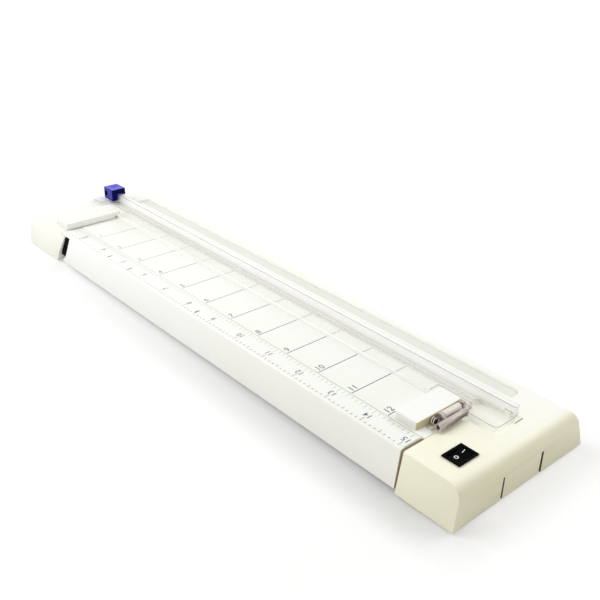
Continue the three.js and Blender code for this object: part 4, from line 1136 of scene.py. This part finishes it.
def bridge(form, first, second):
    """Faces between two closed loops that have equally many corners."""
    for k in range(len(first)):
        after = (k + 1) % len(first)
        form.faces.new((first[k], first[after], second[after], second[k]))


def tube_mesh(path, radius, sides):
    """A closed tube along points, ends capped."""
    form = bmesh.new()
    rings = []
    side = (path[1] - path[0]).orthogonal()
    turns = [2 * math.pi * k / sides for k in range(sides)]
    for index, point in enumerate(path):
        ahead = path[min(index + 1, len(path) - 1)]
        behind = path[max(index - 1, 0)]
        forward = (ahead - behind).normalized()
        side = (side - forward * side.dot(forward)).normalized()
        other = forward.cross(side)
        rings.append([
            form.verts.new(point + (side * math.cos(turn) + other * math.sin(turn)) * radius)
            for turn in turns
        ])
    for first, second in zip(rings, rings[1:]):
        bridge(form, first, second)
    form.faces.new(list(reversed(rings[0])))
    form.faces.new(rings[-1])
    bmesh.ops.recalc_face_normals(form, faces=form.faces)
    set_edges(form)
    return mesh_of(form, "tube")


def helix(start, run, first, second, turns):
    """Points of a coil whose axis begins at start; first and second span its circle."""
    count = turns * COIL_STEPS
    path = []
    for step in range(count + 1):
        angle = 2 * math.pi * step / COIL_STEPS
        centre = start + run * (step / count)
        path.append(centre + first * math.cos(angle) + second * math.sin(angle))
    return path


def hinge_details():
    """The coil between the guide and the hinge tube, with a dark core and a dark rod end in the
    tube that paint the shade of their hollows.
    """
    low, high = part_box("hinge_spring")
    wire = COIL_WIRE * MM
    radius = (high.z - low.z) / 2 - wire
    centre = (low + high) / 2
    start = Vector((low.x + wire, centre.y, centre.z))
    run = Vector((high.x - low.x - 2 * wire, 0.0, 0.0))
    across = Vector((0.0, radius, 0.0))
    up = Vector((0.0, 0.0, radius))
    path = helix(start, run, across, up, COIL_TURNS)
    coil = new_object("hinge_coil", tube_mesh(path, wire / 2, WIRE_SIDES))
    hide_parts("hinge_spring")
    finish_piece(coil, "base", HAZY)
    # Painted shade in the coil's hollow
    core_mesh = tube_mesh([start, start + run], radius - wire * CORE_SHARE, ROD_SIDES)
    finish_piece(new_object("hinge_coil_shade_core", core_mesh), "base", BORE_SHADE)
    # Painted shade in the tube's bore
    front = HINGE_TUBE_FRONT + ROD_SUNK
    ends = [at(HINGE_TUBE_X, y, HINGE_TUBE_Z) for y in (front, front + ROD_LENGTH)]
    rod = new_object("hinge_bore_shade", tube_mesh(ends, ROD_RADIUS * MM, ROD_SIDES))
    finish_piece(rod, "rail", BORE_SHADE)


def press_coil():
    """The coil under the carriage's handle, short enough to clear it when it is pressed."""
    low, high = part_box("carriage_spring")
    wire = PRESS_WIRE * MM
    radius = (high.x - low.x - wire) / 2
    centre = (low + high) / 2
    start = Vector((centre.x, centre.y, low.z + wire / 2))
    run = Vector((0.0, 0.0, high.z - low.z - wire - PRESS_ROOM * MM))
    right = Vector((radius, 0.0, 0.0))
    back = Vector((0.0, radius, 0.0))
    path = helix(start, run, right, back, PRESS_TURNS)
    coil = new_object("carriage_coil", tube_mesh(path, wire / 2, WIRE_SIDES))
    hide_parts("carriage_spring")
    finish_piece(coil, "carriage", NICKEL)


def repaint(names, material):
    """Gives solids that stay as they are a procedural finish."""
    for name in names:
        mesh = NODES[name].data
        mesh.materials.clear()
        mesh.materials.append(material)


def repaint_solids():
    """Finishes of the solids that are shown as they are, or only stand behind a piece."""
    repaint(["arm_hinge_pin"], BLACK)
    repaint(["hinge_pin"], PINK_STEEL)
    repaint(["blade"], BLADE_STEEL)
    repaint(["hinge_spring", "carriage_spring", "blade_rivet"], NICKEL)
    repaint(["battery_contacts", "battery_bridge"], NICKEL)
    repaint([n for n in NODES if n.startswith("cover_screw")], NICKEL)
    repaint([n for n in NODES if n.startswith("rubber_foot")] + ["arm_foot"], RUBBER)
    repaint([n for n in NODES if n.startswith("battery_") and n[-1].isdigit()], WRAP)
    repaint(["cutting_strip"], GREY)
    repaint(["led_strip"], BOARD)


def drape(mesh, obj, x, y):
    """Lays a flat mesh on the upper surface of obj, about x and y."""
    tree = BVHTree.FromObject(obj, bpy.context.evaluated_depsgraph_get())
    down = Vector((0.0, 0.0, -1.0))
    for vertex in mesh.vertices:
        vertex.co += Vector((x, y, 0.0))
        above = Vector((vertex.co.x, vertex.co.y, TOP))
        vertex.co.z += tree.ray_cast(above, down)[0].z


def ring_mesh(outer, inner, high):
    """A flat ring, in millimetres."""
    form = bmesh.new()
    turns = [2 * math.pi * k / RING_STEPS for k in range(RING_STEPS)]
    loops = [
        [form.verts.new(Vector((r * math.cos(turn), r * math.sin(turn), z)) * MM) for turn in turns]
        for r, z in ((outer, -high), (outer, high), (inner, high), (inner, -high))
    ]
    for first, second in zip(loops, loops[1:] + loops[:1]):
        bridge(form, first, second)
    bmesh.ops.recalc_face_normals(form, faces=form.faces)
    return mesh_of(form, "ring")


def pad_mesh(length_x, length_y, high):
    """A thin flat bar with round ends, in millimetres."""
    radius = length_x / 2
    form = bmesh.new()
    outline = []
    for end in (1, -1):
        for k in range(PAD_STEPS + 1):
            angle = math.pi * k / PAD_STEPS + (0 if end > 0 else math.pi)
            middle = end * (length_y / 2 - radius)
            outline.append((radius * math.cos(angle), middle + radius * math.sin(angle)))
    top = [form.verts.new(Vector((x, y, high)) * MM) for x, y in outline]
    foot = [form.verts.new(Vector((x, y, -high)) * MM) for x, y in outline]
    form.faces.new(top)
    form.faces.new(list(reversed(foot)))
    bridge(form, foot, top)
    bmesh.ops.recalc_face_normals(form, faces=form.faces)
    return mesh_of(form, "pad")


def end_slit():
    """A short dark pad on the case's top beside the rail's end: the painted shadow of a slit."""
    mesh = pad_mesh(SLIT_WIDTH, SLIT_LENGTH, MARK_HIGH)
    mesh.transform(Matrix.Translation(at(SLIT_X, SLIT_Y)))
    finish_piece(new_object("case_slit_shadow", mesh), "base", SLIT_SHADE)


def switch_marks(button):
    """The printed ring and bar on the rocker."""
    low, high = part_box("switch_body")
    centre = (low + high) / 2
    ring = ring_mesh(RING_RADIUS, RING_RADIUS - RING_STROKE, MARK_HIGH)
    drape(ring, button, centre.x + MARK_X * MM, centre.y + RING_Y * MM)
    bar = pad_mesh(BAR_WIDTH, BAR_LENGTH, MARK_HIGH)
    drape(bar, button, centre.x + MARK_X * MM, centre.y + BAR_Y * MM)
    finish_piece(joined("switch_marks", (ring, bar)), "rocker", MARK_INK)


def stage_floor():
    """A pale floor that keeps the object's shadow, with a painted soft shadow along the machine's
    front.
    """
    form = bmesh.new()
    bmesh.ops.create_grid(form, x_segments=1, y_segments=1, size=FLOOR_SIZE)
    floor = new_object("floor", mesh_of(form, "floor"))
    material, tree, shader = blank("pale_floor")
    shader.inputs["Roughness"].default_value = FLOOR_ROUGHNESS
    shader.inputs["Emission Color"].default_value = (*PURE_WHITE, 1.0)
    to_camera = node(tree, "ShaderNodeLightPath").outputs["Is Camera Ray"]
    tree.links.new(mix(tree, to_camera, FLOOR_LIT, FLOOR_SEEN), shader.inputs["Base Color"])
    place = node(tree, "ShaderNodeTexCoord")
    away = node(tree, "ShaderNodeVectorMath", operation="DISTANCE")
    fill(tree, away, place.outputs["Object"], GLOW_CENTRE)
    glow = span(tree, away.outputs["Value"], GLOW_NEAR, GLOW_FAR, GLOW_LOW, GLOW_HIGH)
    # Painted soft shadow along the machine's front, growing towards its right end and fading past
    # it
    dark = along(tree, "X", CONTACT_LEFT, RIGHT, 0.0, CONTACT_SHADE)
    for ramp in (
        ("Y", FRONT - CONTACT_REACH, FRONT, 0.0, 1.0),
        ("Y", FRONT, FRONT + CONTACT_REACH, 1.0, 0.0),
        ("X", RIGHT - CONTACT_REACH, RIGHT + CONTACT_REACH, 1.0, 0.0),
    ):
        dark = maths(tree, "MULTIPLY", dark, along(tree, *ramp))
    shaded = maths(tree, "SUBTRACT", glow, dark)
    lift = maths(tree, "MULTIPLY", to_camera, shaded)
    tree.links.new(lift, shader.inputs["Emission Strength"])
    floor.data.materials.append(material)


def studio_light():
    """A white surround, a broad soft lamp at the front left and a second at the back right."""
    world = bpy.data.worlds.new("studio")
    bpy.context.scene.world = world
    world.use_nodes = True
    tree = world.node_tree
    sky = tree.nodes["Background"]
    rays = node(tree, "ShaderNodeLightPath").outputs
    seen = maths(tree, "MAXIMUM", rays["Is Camera Ray"], rays["Is Transmission Ray"])
    shown = maths(tree, "MAXIMUM", seen, rays["Is Glossy Ray"])
    tree.links.new(span(tree, shown, 0.0, 1.0, SKY_LIGHT, SKY_SEEN), sky.inputs["Strength"])
    tree.links.new(mix(tree, shown, SKY_TINT, PURE_WHITE), sky.inputs["Color"])
    for name, place, energy in LAMPS:
        lamp = bpy.data.lights.new(name, "AREA")
        lamp.shape = "RECTANGLE"
        lamp.size = LAMP_WIDTH
        lamp.size_y = LAMP_HEIGHT
        lamp.energy = energy
        holder = new_object(name, lamp)
        holder.location = place
        holder.rotation_euler = (-holder.location).to_track_quat("-Z", "Y").to_euler()


def photo_camera():
    """The camera where the photograph was taken from."""
    data = bpy.data.cameras.new("camera")
    data.lens = LENS
    data.sensor_width = SENSOR
    data.clip_start = CLIP_NEAR
    data.clip_end = CLIP_FAR
    camera = new_object("camera", data)
    heading = Matrix.Rotation(math.radians(CAMERA_AZIMUTH), 4, "Z")
    tilt = Matrix.Rotation(math.radians(90 - CAMERA_ELEVATION), 4, "X")
    roll = Matrix.Rotation(math.radians(CAMERA_ROLL), 4, "Z")
    camera.matrix_world = Matrix.Translation(CAMERA_PLACE) @ heading @ tilt @ roll
    bpy.context.scene.camera = camera


bpy.context.scene.view_settings.view_transform = "Standard"
photo_camera()
stage_floor()
studio_light()
repaint_solids()
pieces = dress_solids()
widen_sheet(pieces["arm_rule_sheet"])
close_tongue(pieces["door_moulding"], pieces["case_moulding"])
soil_seam(pieces["case_moulding"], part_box("cutting_strip")[1].y, -1)
soil_seam(pieces["bed_sheet"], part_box("bed_plate")[0].y, -1)
soil_seam(pieces["arm_moulding"], ZERO.y, 1)
brown_end(pieces["arm_moulding"], pieces["case_moulding"])
narrow_guide(pieces["right_guide_block"], pieces["rail_moulding"])
tint_rail(pieces["rail_moulding"])
tint_cap(pieces["carriage_handle"])
tint_guide(pieces["right_guide_block"])
hinge_details()
press_coil()
switch_marks(pieces["switch_button"])
end_slit()
bed_print()
arm_print()
